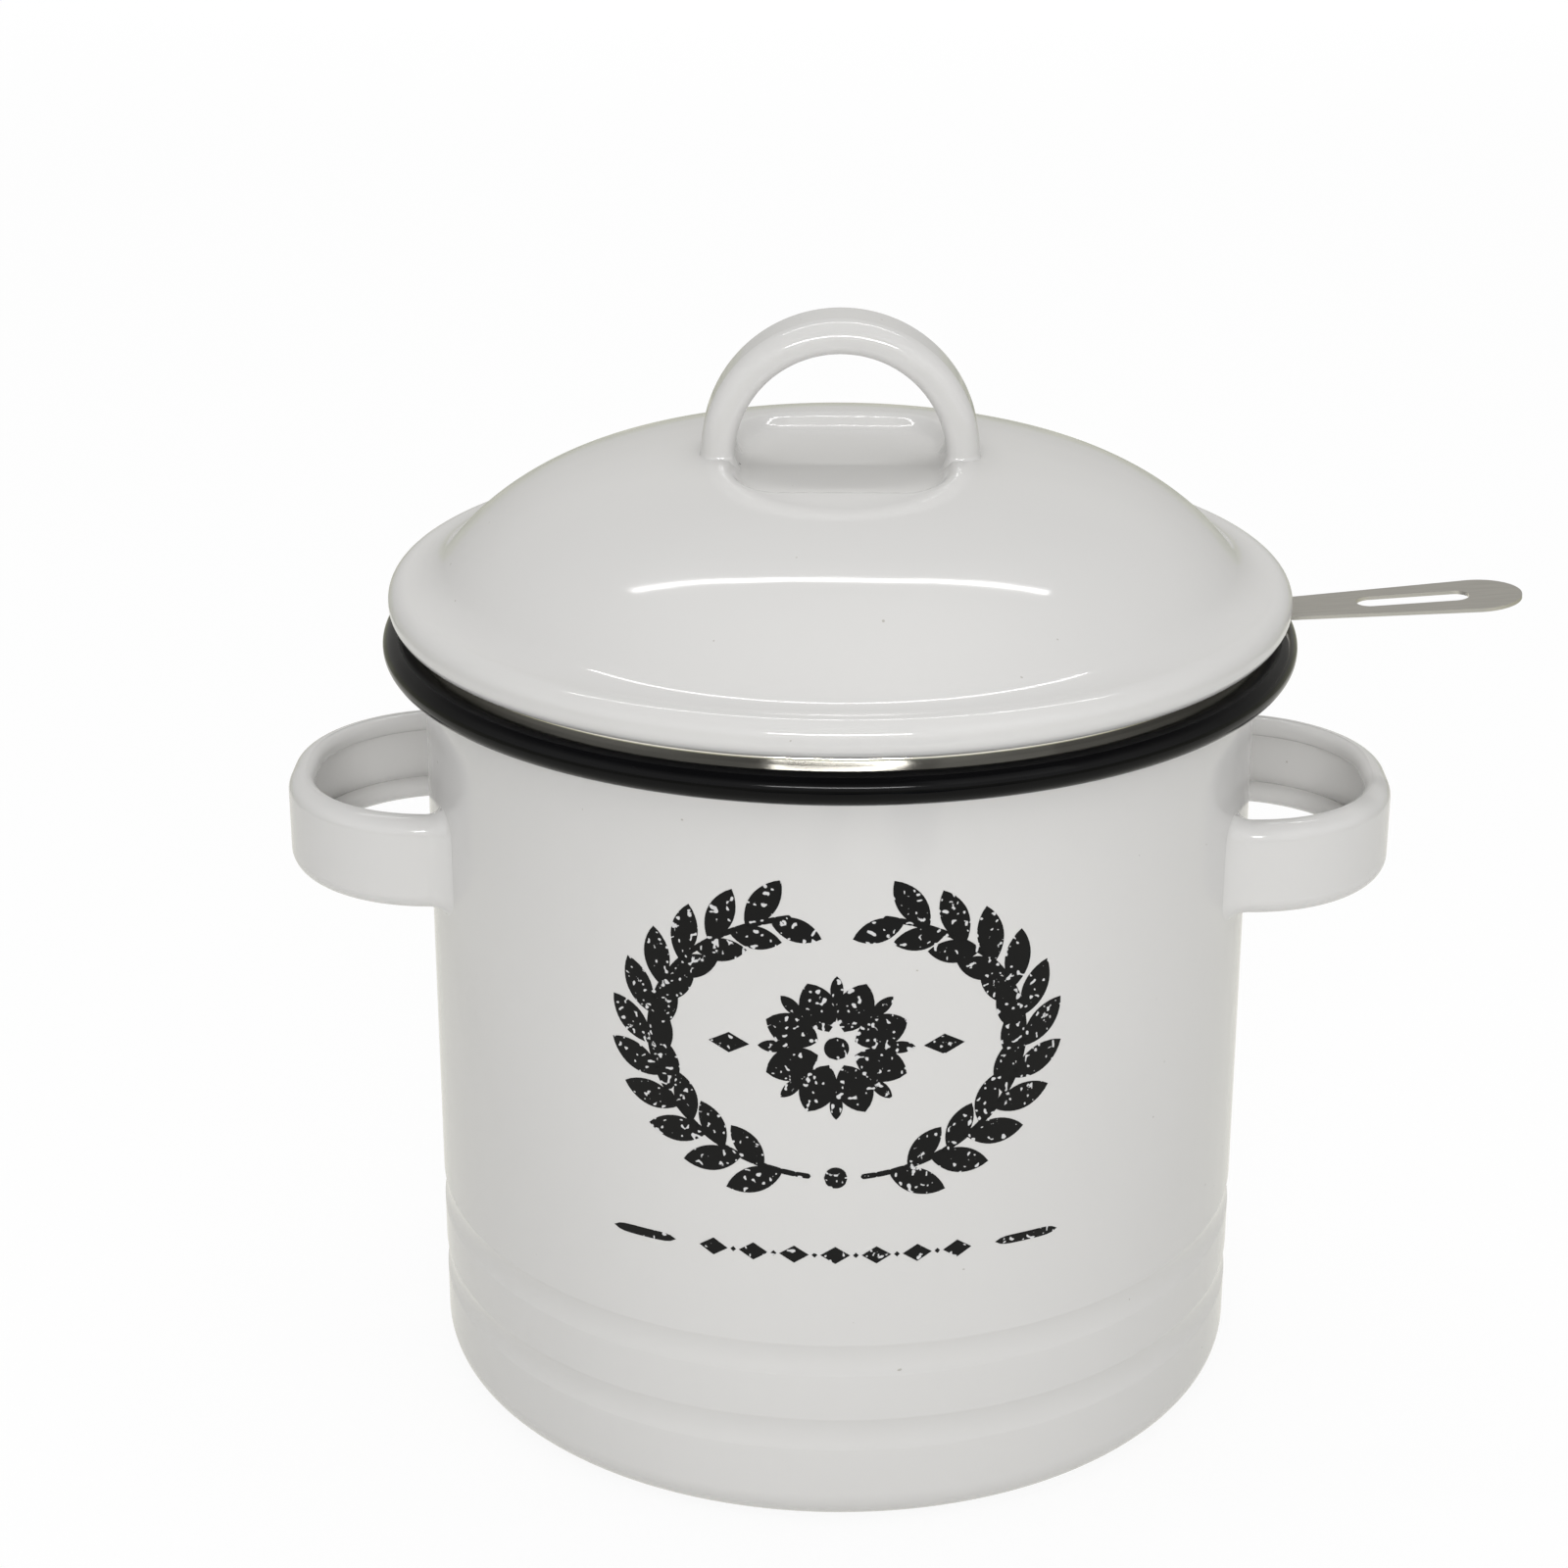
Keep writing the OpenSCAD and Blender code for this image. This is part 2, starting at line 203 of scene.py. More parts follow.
# %% [markdown]
# ## Black enamel
# The rolled rim and the plug ring's lower edge are dipped in black glass. It
# is the same glossy surface, so its nodes are the white's with another colour
# and no specks. The dip is thicker and less even than the spray on the wall,
# which breaks the lamps' reflections into the streaks of a wet-looking rim.

# %% Black enamel
RIM_TONE = 9 * MM
RIM_SHEEN = 6 * MM
RIM_PEEL = 5 * MM
black_enamel, tree, shader, place = new_material("black_vitreous_enamel")
cloud = add(tree, NOISE, patches(place, RIM_TONE))
sheen = add(tree, NOISE, patches(place, RIM_SHEEN))
peel = add(tree, NOISE, patches(place, RIM_PEEL, 1.0))
relief = (peel, 0.4, 0.2 * MM)
dress(tree, shader, (cloud, "#060607", "#0E0E0F"), (sheen, 0.06, 0.16), relief)
plug(tree, shader, {"IOR": GLASS_IOR, "Specular IOR Level": 0.12})
print(black_enamel.name, "with", len(tree.nodes), "nodes")

# %% [markdown]
# ## Pressed stainless steel
# The strainer is spun and pressed from bright stainless sheet. Polishing on a
# lathe leaves very fine rings round the axis, and pressing leaves shallow
# waves that bend the reflections. An anisotropic shader would blur the rings
# away, so they are a bump instead. They follow radius and height, so their
# noise reads those two and not plain X, Y and Z. Real rings are finer than
# 0.1 mm; they are drawn 0.5 mm apart so that they show.

# %% Stainless sheet
STEEL_TONE = 20 * MM
STEEL_WIPED = 8 * MM
PRESS_WAVE = 16 * MM
RING_SPACING = 0.5 * MM
stainless, tree, shader, place = new_material("pressed_stainless_sheet")
cloud = add(tree, NOISE, patches(place, STEEL_TONE))
wiped = add(tree, NOISE, patches(place, STEEL_WIPED))
pressed = add(tree, NOISE, patches(place, PRESS_WAVE, 1.0))
relief = (pressed, 1.0, 1.6 * MM)
_, waves = dress(tree, shader, (cloud, "#E6E3D8", "#DAD6C9"), (wiped, 0.06, 0.16), relief)
axes = add(tree, "ShaderNodeSeparateXYZ", (place,)).outputs
flat = add(tree, "ShaderNodeCombineXYZ", {"X": axes["X"], "Y": axes["Y"]})
radius = add(tree, "ShaderNodeVectorMath", (flat,), operation="LENGTH")
round_place = add(tree, "ShaderNodeCombineXYZ", {"X": radius, "Z": axes["Z"]})
lathe = add(tree, NOISE, patches(round_place, RING_SPACING, 1.0))
rings = add(tree, BUMP, {"Height": lathe, "Strength": 0.25, "Distance": 0.02 * MM})
plug(tree, waves, {"Normal": rings})
plug(tree, shader, {"Metallic": 1.0})
print(stainless.name, "with", len(tree.nodes), "nodes")

# %% [markdown]
# ## Satin stainless strip
# The strainer's handle is cut from brushed strip, whose scratches all run
# along it. Three noises could give its tone, gloss and relief, but on real
# strip all three change at the same scratch. So one noise drives them, squeezed
# across the strip and stretched along it.

# %% Satin strip
SCRATCH = 0.35 * MM
ALONG_STRIP = (0.04, 1.0, 1.0)
satin_strip, tree, shader, place = new_material("satin_stainless_strip")
stretched = add(tree, "ShaderNodeMapping", {"Vector": place, "Scale": ALONG_STRIP})
grain = add(tree, NOISE, patches(stretched, SCRATCH, 3.0))
relief = (grain, 0.3, 0.03 * MM)
dress(tree, shader, (grain, "#E2DFD8", "#CFCCC5"), (grain, 0.28, 0.42), relief)
plug(tree, shader, {"Metallic": 1.0})
print(satin_strip.name, "with", len(tree.nodes), "nodes")

# %% [markdown]
# ## Worn black print
# The front carries a plain ornament in black ceramic ink, fired on like a
# transfer. Such prints wear: the ink has pin holes and small missing flakes
# where the white shows through. Cutting them into the mesh would take far too
# many faces, so the colour switches between ink and white wherever two noises
# of different size run high.

# %% Print ink
FLAKE = 0.9 * MM
PIN_HOLE = 0.4 * MM
print_ink, tree, shader, place = new_material("worn_black_print")
flakes = add(tree, NOISE, patches(place, FLAKE, 4.0))
flakes = add(tree, RANGE, (flakes, 0.66, 0.68))
pin_holes = add(tree, NOISE, patches(place, PIN_HOLE, 0.0))
pin_holes = add(tree, RANGE, (pin_holes, 0.70, 0.73))
missing = add(tree, MATH, (flakes, pin_holes), operation="MAXIMUM")
worn = add(tree, MIX, (missing, srgb("#0B0B0C"), srgb("#D8D8D8")), data_type="RGBA")
plug(tree, shader, {"Base Color": worn, "Roughness": 0.42, "Specular IOR Level": 0.2})
print(print_ink.name, "with", len(tree.nodes), "nodes")

# %% [markdown]
# ## Helpers for shapes
# Almost every piece here is turned: one outline of (radius, height) points
# in millimetres, carried round the axis. Round stretches come from `arc`, so
# an outline holds only the sizes that a maker would set. A Screw modifier
# could turn it too, but rings made in bmesh close a pole in one point.
# Weighted normals keep long flat walls flat in reflections.

# %% Outline and turning helpers
DOUBLES = 0.002 * MM


def arc(cx, cz, radius, start, end, count=14):
    """Points of a round stretch about (cx, cz), from angle start to end in degrees."""
    angles = [math.radians(start + (end - start) * i / count) for i in range(count + 1)]
    return [(cx + radius * math.cos(a), cz + radius * math.sin(a)) for a in angles]


def from_bmesh(name, bm):
    """A new object that takes a bmesh's faces."""
    mesh = bpy.data.meshes.new(name)
    bm.to_mesh(mesh)
    bm.free()
    return put(name, mesh)


def finish_mesh(name, bm, material, sharp=38):
    """Turns a bmesh into a smooth object with one material and even normals."""
    bmesh.ops.remove_doubles(bm, verts=bm.verts, dist=DOUBLES)
    bmesh.ops.recalc_face_normals(bm, faces=bm.faces)
    piece = from_bmesh(name, bm)
    mesh = piece.data
    mesh.polygons.foreach_set("use_smooth", [True] * len(mesh.polygons))
    mesh.set_sharp_from_angle(angle=math.radians(sharp))
    mesh.materials.append(material)
    even = piece.modifiers.new("even_normals", "WEIGHTED_NORMAL")
    even.keep_sharp = True
    return piece


def turned(name, outline, material, segments=256):
    """A solid turned about Z from a closed outline of (radius, height) in mm."""
    bm = bmesh.new()
    turns = [2 * math.pi * i / segments for i in range(segments)]
    rings = []
    for r, z in outline:
        if r > 0:
            spots = [(r * math.cos(a) * MM, r * math.sin(a) * MM, z * MM) for a in turns]
            rings.append([bm.verts.new(spot) for spot in spots])
        else:
            rings.append([bm.verts.new((0, 0, z * MM))] * segments)
    for first, second in zip(rings, rings[1:] + rings[:1]):
        for i, vert in enumerate(first):
            j = (i + 1) % segments
            corners = list(dict.fromkeys((vert, first[j], second[j], second[i])))
            if len(corners) > 2:
                bm.faces.new(corners)
    return finish_mesh(name, bm, material)


def stand_for(piece, body, slot, *nodes):
    """The piece moves with a body and is shown in place of its nodes."""
    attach(piece, body)
    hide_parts(*nodes)
    print(f"{piece.name}: {len(piece.data.polygons)} faces, stands for {', '.join(nodes)}")


print("a quarter circle has", len(arc(0, 0, 1, 0, 90)), "points")

# %% [markdown]
# ## The pot
# The body is one drawn steel can: a flat foot, a small corner and a straight
# wall with two bands pressed in near the foot, which stiffen it. Its radius
# and heights are read off the frame. A surface with a Solidify modifier would
# do, but the same line drawn twice, the second time one wall inside the first,
# gives the sheet and its end at the rim in one step.

# %% Pot body
POT_WALL = 0.7
POT_CORNER = 6.0
BAND_HEIGHTS = (17.0, 30.5)
BAND_WIDTH = 6.0
BAND_DEPTH = 0.5
pot_r, _, wall_top = sizes("pot_body")
band_r = (BAND_WIDTH**2 / 4 + BAND_DEPTH**2) / (2 * BAND_DEPTH)
band_angle = math.degrees(math.asin(BAND_WIDTH / 2 / band_r))


def pot_line(out):
    """The wall's line from the middle of the floor to the rim, out mm outside the surface."""
    line = [(0.0, -out)] + arc(pot_r - POT_CORNER, POT_CORNER, POT_CORNER + out, -90, 0)
    for height in BAND_HEIGHTS:
        centre = pot_r - BAND_DEPTH + band_r
        line += arc(centre, height, band_r - out, 180 + band_angle, 180 - band_angle)
    return line + [(pot_r + out, wall_top)]


pot_shell = turned("pot_shell", pot_line(0) + pot_line(-POT_WALL)[::-1], pot_white)
stand_for(pot_shell, "pot", "white_enamel", "pot_body")

# %% [markdown]
# ## The rolled rim
# The sheet's edge is rolled outwards into a bead and dipped black. It could be
# a torus, but a rolled edge is flatter on top and bites into the wall, so it
# is turned from a section with a half circle outside and two small roundings
# inside.

# %% Rolled rim
RIM_BITE = 0.4
RIM_IN_ROUND = 1.4
rim_r, rim_low, rim_top = sizes("rim_bead")
rim_round = (rim_top - rim_low) / 2
inner_round = pot_r - RIM_BITE + RIM_IN_ROUND
rim_outline = (
    arc(rim_r - rim_round, rim_low + rim_round, rim_round, -90, 90, 32)
    + arc(inner_round, rim_top - RIM_IN_ROUND, RIM_IN_ROUND, 90, 180)
    + arc(inner_round, rim_low + RIM_IN_ROUND, RIM_IN_ROUND, 180, 270)
)
rolled_rim = turned("rolled_rim", rim_outline, black_enamel)
stand_for(rolled_rim, "pot", "black_enamel", "rim_bead")

# %% [markdown]
# ## Pressed strip handles
# All three white handles are one kind of part: steel strip pressed into a
# channel with its edges rolled in, bent to a loop, welded on and enamelled
# over. `channel` draws the section, open on the finger side.

# %% The strip's section
STRIP_WALL = 1.2
STRIP_ROUND = 3.0
STRIP_LIP = 1.8


def channel(depth, width):
    """A channel's closed section: x runs from the open side to the back, y across it."""
    half, back = width / 2, depth - STRIP_WALL
    corner = arc(depth - STRIP_ROUND, half - STRIP_ROUND, STRIP_ROUND, 0, 90, 10)
    meets_web = math.degrees(math.acos(min((back - STRIP_LIP) / STRIP_LIP, 1.0)))
    lip = arc(STRIP_LIP, half - STRIP_LIP, STRIP_LIP, 90, 360 - meets_web, 22)
    upper = corner + lip
    if back > 2 * STRIP_LIP:
        upper.append((back, half + STRIP_LIP - back))
    return upper + [(x, -y) for x, y in reversed(upper)]


def outward_normals(section):
    """The direction away from the metal at each point of a closed section."""
    normals = []
    for before, after in zip(section[-1:] + section[:-1], section[1:] + section[:1]):
        away = Vector((after[1] - before[1], before[0] - after[0]))
        normals.append(away.normalized())
    return normals


print("the ears' section has", len(channel(4.4, 16)), "points")

# %% [markdown]
# `swept` carries the section along a path. Curve to Mesh could do that, but
# not the feet: where a foot meets the sheet, the molten glass runs into the
# corner and sets as a fillet. So the rings are placed one by one. Near the
# ends the section grows outwards along a quarter circle, and its last ring
# lies on the sheet.

# %% Sweep with filleted feet
SEAM_SHARP = 60


def swept(name, section, path, across, seat, fillet):
    """Carries a section along a path of (place, outward, share) rows, in mm.

    across is the direction of the section's y. seat drops a point onto the
    sheet, and a row's share says how much of that drop is left out: 0 at the
    foot, 1 along the loop. fillet is the radius of the glass in the corner.
    """
    places = [seat(place) * (1 - share) + place * share for place, _, share in path]
    walked = [0.0]
    for first, second in zip(places, places[1:]):
        walked.append(walked[-1] + (second - first).length)
    normals = outward_normals(section)
    bm = bmesh.new()
    rings = []
    for (place, outward, share), so_far in zip(path, walked):
        near = max(0.0, 1 - min(so_far, walked[-1] - so_far) / fillet)
        grow = fillet * (1 - math.sqrt(1 - near**2))
        ring = []
        for (x, y), away in zip(section, normals):
            point = place + outward * (x + grow * away.x) + across * (y + grow * away.y)
            point = seat(point) * (1 - share) + point * share
            ring.append(bm.verts.new(point * MM))
        rings.append(ring)
    for first, second in zip(rings, rings[1:]):
        for i, vert in enumerate(first):
            j = (i + 1) % len(first)
            bm.faces.new((vert, first[j], second[j], second[i]))
    bm.faces.new(rings[0][::-1])
    bm.faces.new(rings[-1])
    return finish_mesh(name, bm, pot_white, SEAM_SHARP)


print("seams sharper than", SEAM_SHARP, "degrees stay sharp on the handles")

# %% [markdown]
# ## Ear handles
# Each ear is a flat loop: out from the wall, round a bend, along the front and
# back again. Half the path of one ear is written down, with its bend as an
# arc, and mirrored for the rest. A Mirror modifier could make the other ear,
# but each ear is a piece of its own, so the same path is swept twice.

# %% Ear handles
EAR_BEND = 25.0
EAR_DEPTH = 4.4
EAR_FILLET = 2.6
LEG_RINGS = 12
SHEET_SINK = 0.35
ear_low, ear_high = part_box("right_handle")
ear_reach = ear_high.x / MM
ear_half = ear_high.y / MM
ear_height = (ear_high.z - ear_low.z) / MM
ear_middle = (ear_high.z + ear_low.z) / 2 / MM


def ear_path(side):
    """The line of the ear's open side, from the wall round to the wall."""
    inner = EAR_BEND - EAR_DEPTH
    cx, cy = ear_reach - EAR_BEND, ear_half - EAR_BEND
    half = [(cx, -cy - inner, 0.0, -1.0, i / LEG_RINGS) for i in range(LEG_RINGS)]
    half += [(cx + inner * u, -cy + inner * v, u, v, 1.0) for u, v in arc(0, 0, 1, -90, 0, 30)]
    rows = half + [(x, -y, u, -v, share) for x, y, u, v, share in reversed(half)]
    return [
        (Vector((side * x, y, ear_middle)), Vector((side * u, v, 0)), share)
        for x, y, u, v, share in rows
    ]


def seat_on_wall(point):
    """Moves a point along X until it lies just inside the pot's outer surface."""
    x = math.sqrt(max((pot_r - SHEET_SINK) ** 2 - point.y**2, 0.0))
    return Vector((math.copysign(x, point.x), point.y, point.z))


UP = Vector((0, 0, 1))
ear_section = channel(EAR_DEPTH, ear_height)
for side, mirror in (("left", -1), ("right", 1)):
    ear = swept(f"ear_{side}", ear_section, ear_path(mirror), UP, seat_on_wall, EAR_FILLET)
    stand_for(ear, "pot", "white_enamel", f"{side}_handle")

# %% [markdown]
# ## The strainer
# The strainer is a shallow pan. Its lip is turned down and hangs on the rim;
# its wall steps in near the bottom, and its floor has one pressed ring round
# the draining plate. A single surface would do, but as with the pot, a copy of
# the line one sheet lower gives the thin steel edges that catch the light.

# %% Strainer bowl
STEEL = 0.4
FLANGE_ROUND = 0.8
MOUTH_ROUND = 1.2
BOWL_IN = 66.5
STEP_DEPTH = 17.0
STEP_IN = 1.2
BOWL_CORNER = 3.0
RING_R = 49.0
RING_WIDTH = 7.0
RING_RISE = 1.0
DRAIN_R = 35.0
flange_r, _, flange_top = sizes("strainer_bowl")
plate_r, plate_low, plate_high = sizes("mesh_disc")
ring_curve = (RING_WIDTH**2 / 4 + RING_RISE**2) / (2 * RING_RISE)
ring_angle = math.degrees(math.asin(RING_WIDTH / 2 / ring_curve))


def bowl_line(down):
    """The sheet's line from the lip to the drain opening, down mm below its upper face."""
    foot = BOWL_IN - STEP_IN
    step_z = flange_top - STEP_DEPTH
    ring_z = plate_low + RING_RISE - ring_curve
    line = [(flange_r - down, rim_top)]
    line += arc(flange_r - FLANGE_ROUND, flange_top - FLANGE_ROUND, FLANGE_ROUND - down, 0, 90, 8)
    line += arc(BOWL_IN + MOUTH_ROUND, flange_top - MOUTH_ROUND, MOUTH_ROUND - down, 90, 180, 12)
    line += [(BOWL_IN + down, step_z), (foot + down, step_z - STEP_IN / 2)]
    line += arc(foot - BOWL_CORNER, plate_low + BOWL_CORNER, BOWL_CORNER + down, 0, -90)
    line += arc(RING_R, ring_z, ring_curve - down, 90 - ring_angle, 90 + ring_angle)
    return line + [(DRAIN_R, plate_low - down)]


strainer_pan = turned("strainer_pan", bowl_line(0) + bowl_line(STEEL)[::-1], stainless)
stand_for(strainer_pan, "strainer", "stainless_sheet", "strainer_bowl")

# %% [markdown]
# ## Helpers for node trees
# Two pieces here repeat one small shape hundreds of times, which is work for
# Geometry Nodes. Both trees open with named inputs, give a flat sheet its
# thickness in the same way and end alike, so those parts are written once.
# `grown` runs a tree and keeps its result as a plain mesh. The tree could stay
# live on its modifier, but a plain mesh can be measured and handed on as it is.

# %% Node tree helpers
FUSE = 0.001 * MM


def new_tree(name, lengths, counts=()):
    """An empty tree with named inputs, and the sockets that give them."""
    tree = bpy.data.node_groups.new(name, "GeometryNodeTree")
    kinds = {"Int": counts, "Float": lengths, "Material": ("Material",)}
    for kind, names in kinds.items():
        for socket in names:
            socket_type = "NodeSocket" + kind
            tree.interface.new_socket(socket, in_out="INPUT", socket_type=socket_type)
    tree.interface.new_socket("Geometry", in_out="OUTPUT", socket_type="NodeSocketGeometry")
    return tree, add(tree, "NodeGroupInput").outputs


def thickened(tree, sheet, depth):
    """Pushes a flat sheet by depth and closes it with its own other side."""
    pushed = add(
        tree,
        "GeometryNodeExtrudeMesh",
        {"Mesh": sheet, "Offset Scale": depth, "Individual": False},
    )
    other_side = add(tree, "GeometryNodeFlipFaces", (sheet,))
    closed = add(tree, "GeometryNodeJoinGeometry")
    for part in (pushed, other_side):
        plug(tree, closed, {0: part})
    return add(tree, "GeometryNodeMergeByDistance", {0: closed, "Distance": FUSE})


def end_tree(tree, shape, material):
    """Makes instances real, gives the material and leads to the output."""
    real = add(tree, "GeometryNodeRealizeInstances", {0: shape})
    finished = add(tree, "GeometryNodeSetMaterial", {0: real, "Material": material})
    add(tree, "NodeGroupOutput", {0: finished})


def grown(name, tree, values, turn=Matrix.Identity(4)):
    """Runs a tree with named inputs and returns its result as a plain mesh object."""
    seed = put(name + "_seed", bpy.data.meshes.new(name + "_seed"))
    modifier = seed.modifiers.new("grow", "NODES")
    modifier.node_group = tree
    for item in tree.interface.items_tree:
        if item.in_out == "INPUT" and item.name in values:
            modifier[item.identifier] = values[item.name]
    ready = seed.evaluated_get(bpy.context.evaluated_depsgraph_get())
    mesh = bpy.data.meshes.new_from_object(ready)
    mesh.name = name
    mesh.transform(turn)
    bm = bmesh.new()
    bm.from_mesh(mesh)
    bmesh.ops.recalc_face_normals(bm, faces=bm.faces)
    bm.to_mesh(mesh)
    bm.free()
    bpy.data.objects.remove(seed)
    return put(name, mesh)


print("trees fuse corners closer than", FUSE / MM, "mm")

# %% [markdown]
# ## The draining plate
# The plate has some two thousand holes in staggered rows. Modelling each by
# hand would be slow, and cutting them with booleans slower still. The tree
# lays the plate as a honeycomb instead: a grid of points, every other row
# shifted by half a pitch, and on each point one six-sided cell, either with a
# hole or plain. The cells share their edges, so merging makes one sheet. The
# real holes are about 0.8 mm across and stand 1.4 mm apart, as here.

# %% The tree of the draining plate
CELL_TURN = (0.0, 0.0, math.radians(30))
CELL_FUSE = 0.02 * MM


def staggered_points(tree, reach, pitch):
    """A square of points in rows, with every odd row moved by half a pitch."""
    row = add(tree, MATH, (pitch, math.sin(math.radians(60))), operation="MULTIPLY")
    rows = add(tree, MATH, (reach, row), operation="DIVIDE")
    rows = add(tree, MATH, (rows,), operation="CEIL")
    gaps = add(tree, MATH, (rows, 2.0), operation="MULTIPLY")
    count = add(tree, MATH, (gaps, 1.0), operation="ADD")
    width = add(tree, MATH, (gaps, pitch), operation="MULTIPLY")
    depth = add(tree, MATH, (gaps, row), operation="MULTIPLY")
    grid = add(tree, "GeometryNodeMeshGrid", (width, depth, count, count))
    spot = add(tree, "GeometryNodeInputPosition")
    height = add(tree, "ShaderNodeSeparateXYZ", (spot,)).outputs["Y"]
    number = add(tree, MATH, (height, row), operation="DIVIDE")
    number = add(tree, MATH, (number,), operation="ROUND")
    odd = add(tree, MATH, (number, 2.0), operation="FLOORED_MODULO")
    half = add(tree, MATH, (odd, 0.5), operation="MULTIPLY")
    shift = add(tree, MATH, (half, pitch), operation="MULTIPLY")
    offset = add(tree, "ShaderNodeCombineXYZ", {"X": shift})
    return add(tree, "GeometryNodeSetPosition", {"Geometry": grid, "Offset": offset})


def cells_between(tree, points, cell, near, far):
    """One cell on each point whose distance from the middle is between near and far."""
    spot = add(tree, "GeometryNodeInputPosition")
    away = add(tree, "ShaderNodeVectorMath", (spot,), operation="LENGTH")
    past = add(tree, MATH, (away, near), operation="GREATER_THAN")
    short = add(tree, MATH, (away, far), operation="GREATER_THAN")
    short = add(tree, MATH, (1.0, short), operation="SUBTRACT")
    wanted = add(tree, MATH, (past, short), operation="MULTIPLY")
    laid = {"Points": points, "Selection": wanted, "Instance": cell, "Rotation": CELL_TURN}
    laid = add(tree, "GeometryNodeInstanceOnPoints", laid)
    return add(tree, "GeometryNodeRealizeInstances", {0: laid})


def plate_tree():
    """A sheet of six-sided cells, with holes inside Field. Its inputs are lengths in metres."""
    lengths = ("Radius", "Field", "Pitch", "Hole", "Thickness")
    tree, given = new_tree("perforated_plate", lengths)
    points = staggered_points(tree, given["Radius"], given["Pitch"])
    cell_r = add(tree, MATH, (given["Pitch"], math.sqrt(3)), operation="DIVIDE")
    ring = {"Vertices": 6, "Radius Top": given["Hole"], "Radius Bottom": cell_r, "Depth": 0.0}
    pierced = add(tree, "GeometryNodeMeshCone", ring, fill_type="NONE")
    plain = add(tree, "GeometryNodeMeshCircle", (6, cell_r), fill_type="NGON")
    edge = add(tree, MATH, (given["Radius"], cell_r), operation="SUBTRACT")
    sheet = add(tree, "GeometryNodeJoinGeometry")
    for cell, near, far in ((pierced, -1.0, given["Field"]), (plain, given["Field"], edge)):
        plug(tree, sheet, {0: cells_between(tree, points, cell, near, far)})
    whole = add(tree, "GeometryNodeMergeByDistance", {0: sheet, "Distance": CELL_FUSE})
    end_tree(tree, thickened(tree, whole, given["Thickness"]), given["Material"])
    return tree


plate = plate_tree()
print(plate.name, "has", len(plate.nodes), "nodes")

# %% [markdown]
# The plate's size and height come from the frame. The holes stop short of the
# pan's opening, so that its edge under the clamp ring stays whole. The rows
# are turned a little, as in a disc cut from a larger perforated sheet.

# %% Draining plate
HOLE_PITCH = 1.4
HOLE_RADIUS = 0.44
HOLE_MARGIN = 0.9
ROW_TURN = 10.0
draining_plate = grown(
    "draining_plate",
    plate,
    {
        "Radius": plate_r * MM,
        "Field": (DRAIN_R - HOLE_MARGIN) * MM,
        "Pitch": HOLE_PITCH * MM,
        "Hole": HOLE_RADIUS * MM,
        "Thickness": (plate_high - plate_low) * MM,
        "Material": stainless,
    },
    Matrix.Translation((0, 0, plate_low * MM)) @ Matrix.Rotation(math.radians(ROW_TURN), 4, "Z"),
)
stand_for(draining_plate, "strainer", "stainless_sheet", "mesh_disc")

# %% [markdown]
# ## The clamp ring
# A narrow ring holds the plate's edge down. It is stepped underneath: its
# inner part lies on the plate and its outer part reaches down to the pan's
# floor. A flat washer would float over one of the two, so the ring is turned
# from that stepped section.

# %% Clamp ring
CLAMP_ROUND = 0.7
CLAMP_WIDTH = 3.6
CLAMP_SLACK = 0.2
ring_out, _, ring_high = sizes("mesh_ring")
ring_in = ring_out - CLAMP_WIDTH
seat_r = plate_r + CLAMP_SLACK
clamp_outline = [(ring_in, plate_high), (seat_r, plate_high)]
clamp_outline += [(seat_r, plate_low), (ring_out, plate_low)]
clamp_outline += arc(ring_out - CLAMP_ROUND, ring_high - CLAMP_ROUND, CLAMP_ROUND, 0, 90, 8)
clamp_outline += arc(ring_in + CLAMP_ROUND, ring_high - CLAMP_ROUND, CLAMP_ROUND, 90, 180, 8)
clamp_ring = turned("clamp_ring", clamp_outline, stainless)
stand_for(clamp_ring, "strainer", "stainless_sheet", "mesh_ring")

# %% [markdown]
# ## The strainer's handle
# The handle is a flat strip: a leg welded to the pan's wall, a bend over the
# rim and a blade with a hanging slot. It could be swept like the ears, but the
# frame's own mesh has its slot and its rounded tip already, and flat strip has
# nothing finer to add, so it only gets its finish.

# %% Finish the handle
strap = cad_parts["strainer_handle"]
strap.data.materials.clear()
strap.data.materials.append(satin_strip)
print("strainer_handle:", len(strap.data.polygons), "faces, kept from the frame")

# %% [markdown]
# ## The print on the front
# The pot's front carries a wreath of leaves round a flower, with a row of
# diamonds between two bars below. An image could be laid on the wall, but all
# of it is one idea repeated: a small flat mark, wide in the middle and pointed
# at both ends, laid again and again along an arc or a row. So one tree draws
# them all. It shapes a grid into the mark, puts it on each place, turns it to
# its path and wraps the result round the wall. Each mark is a thin solid that
# stands 0.05 mm proud, as fired ink does.

# %% The tree of the printed marks
PRINT_PROUD = 0.05
PRINT_DEPTH = 0.10


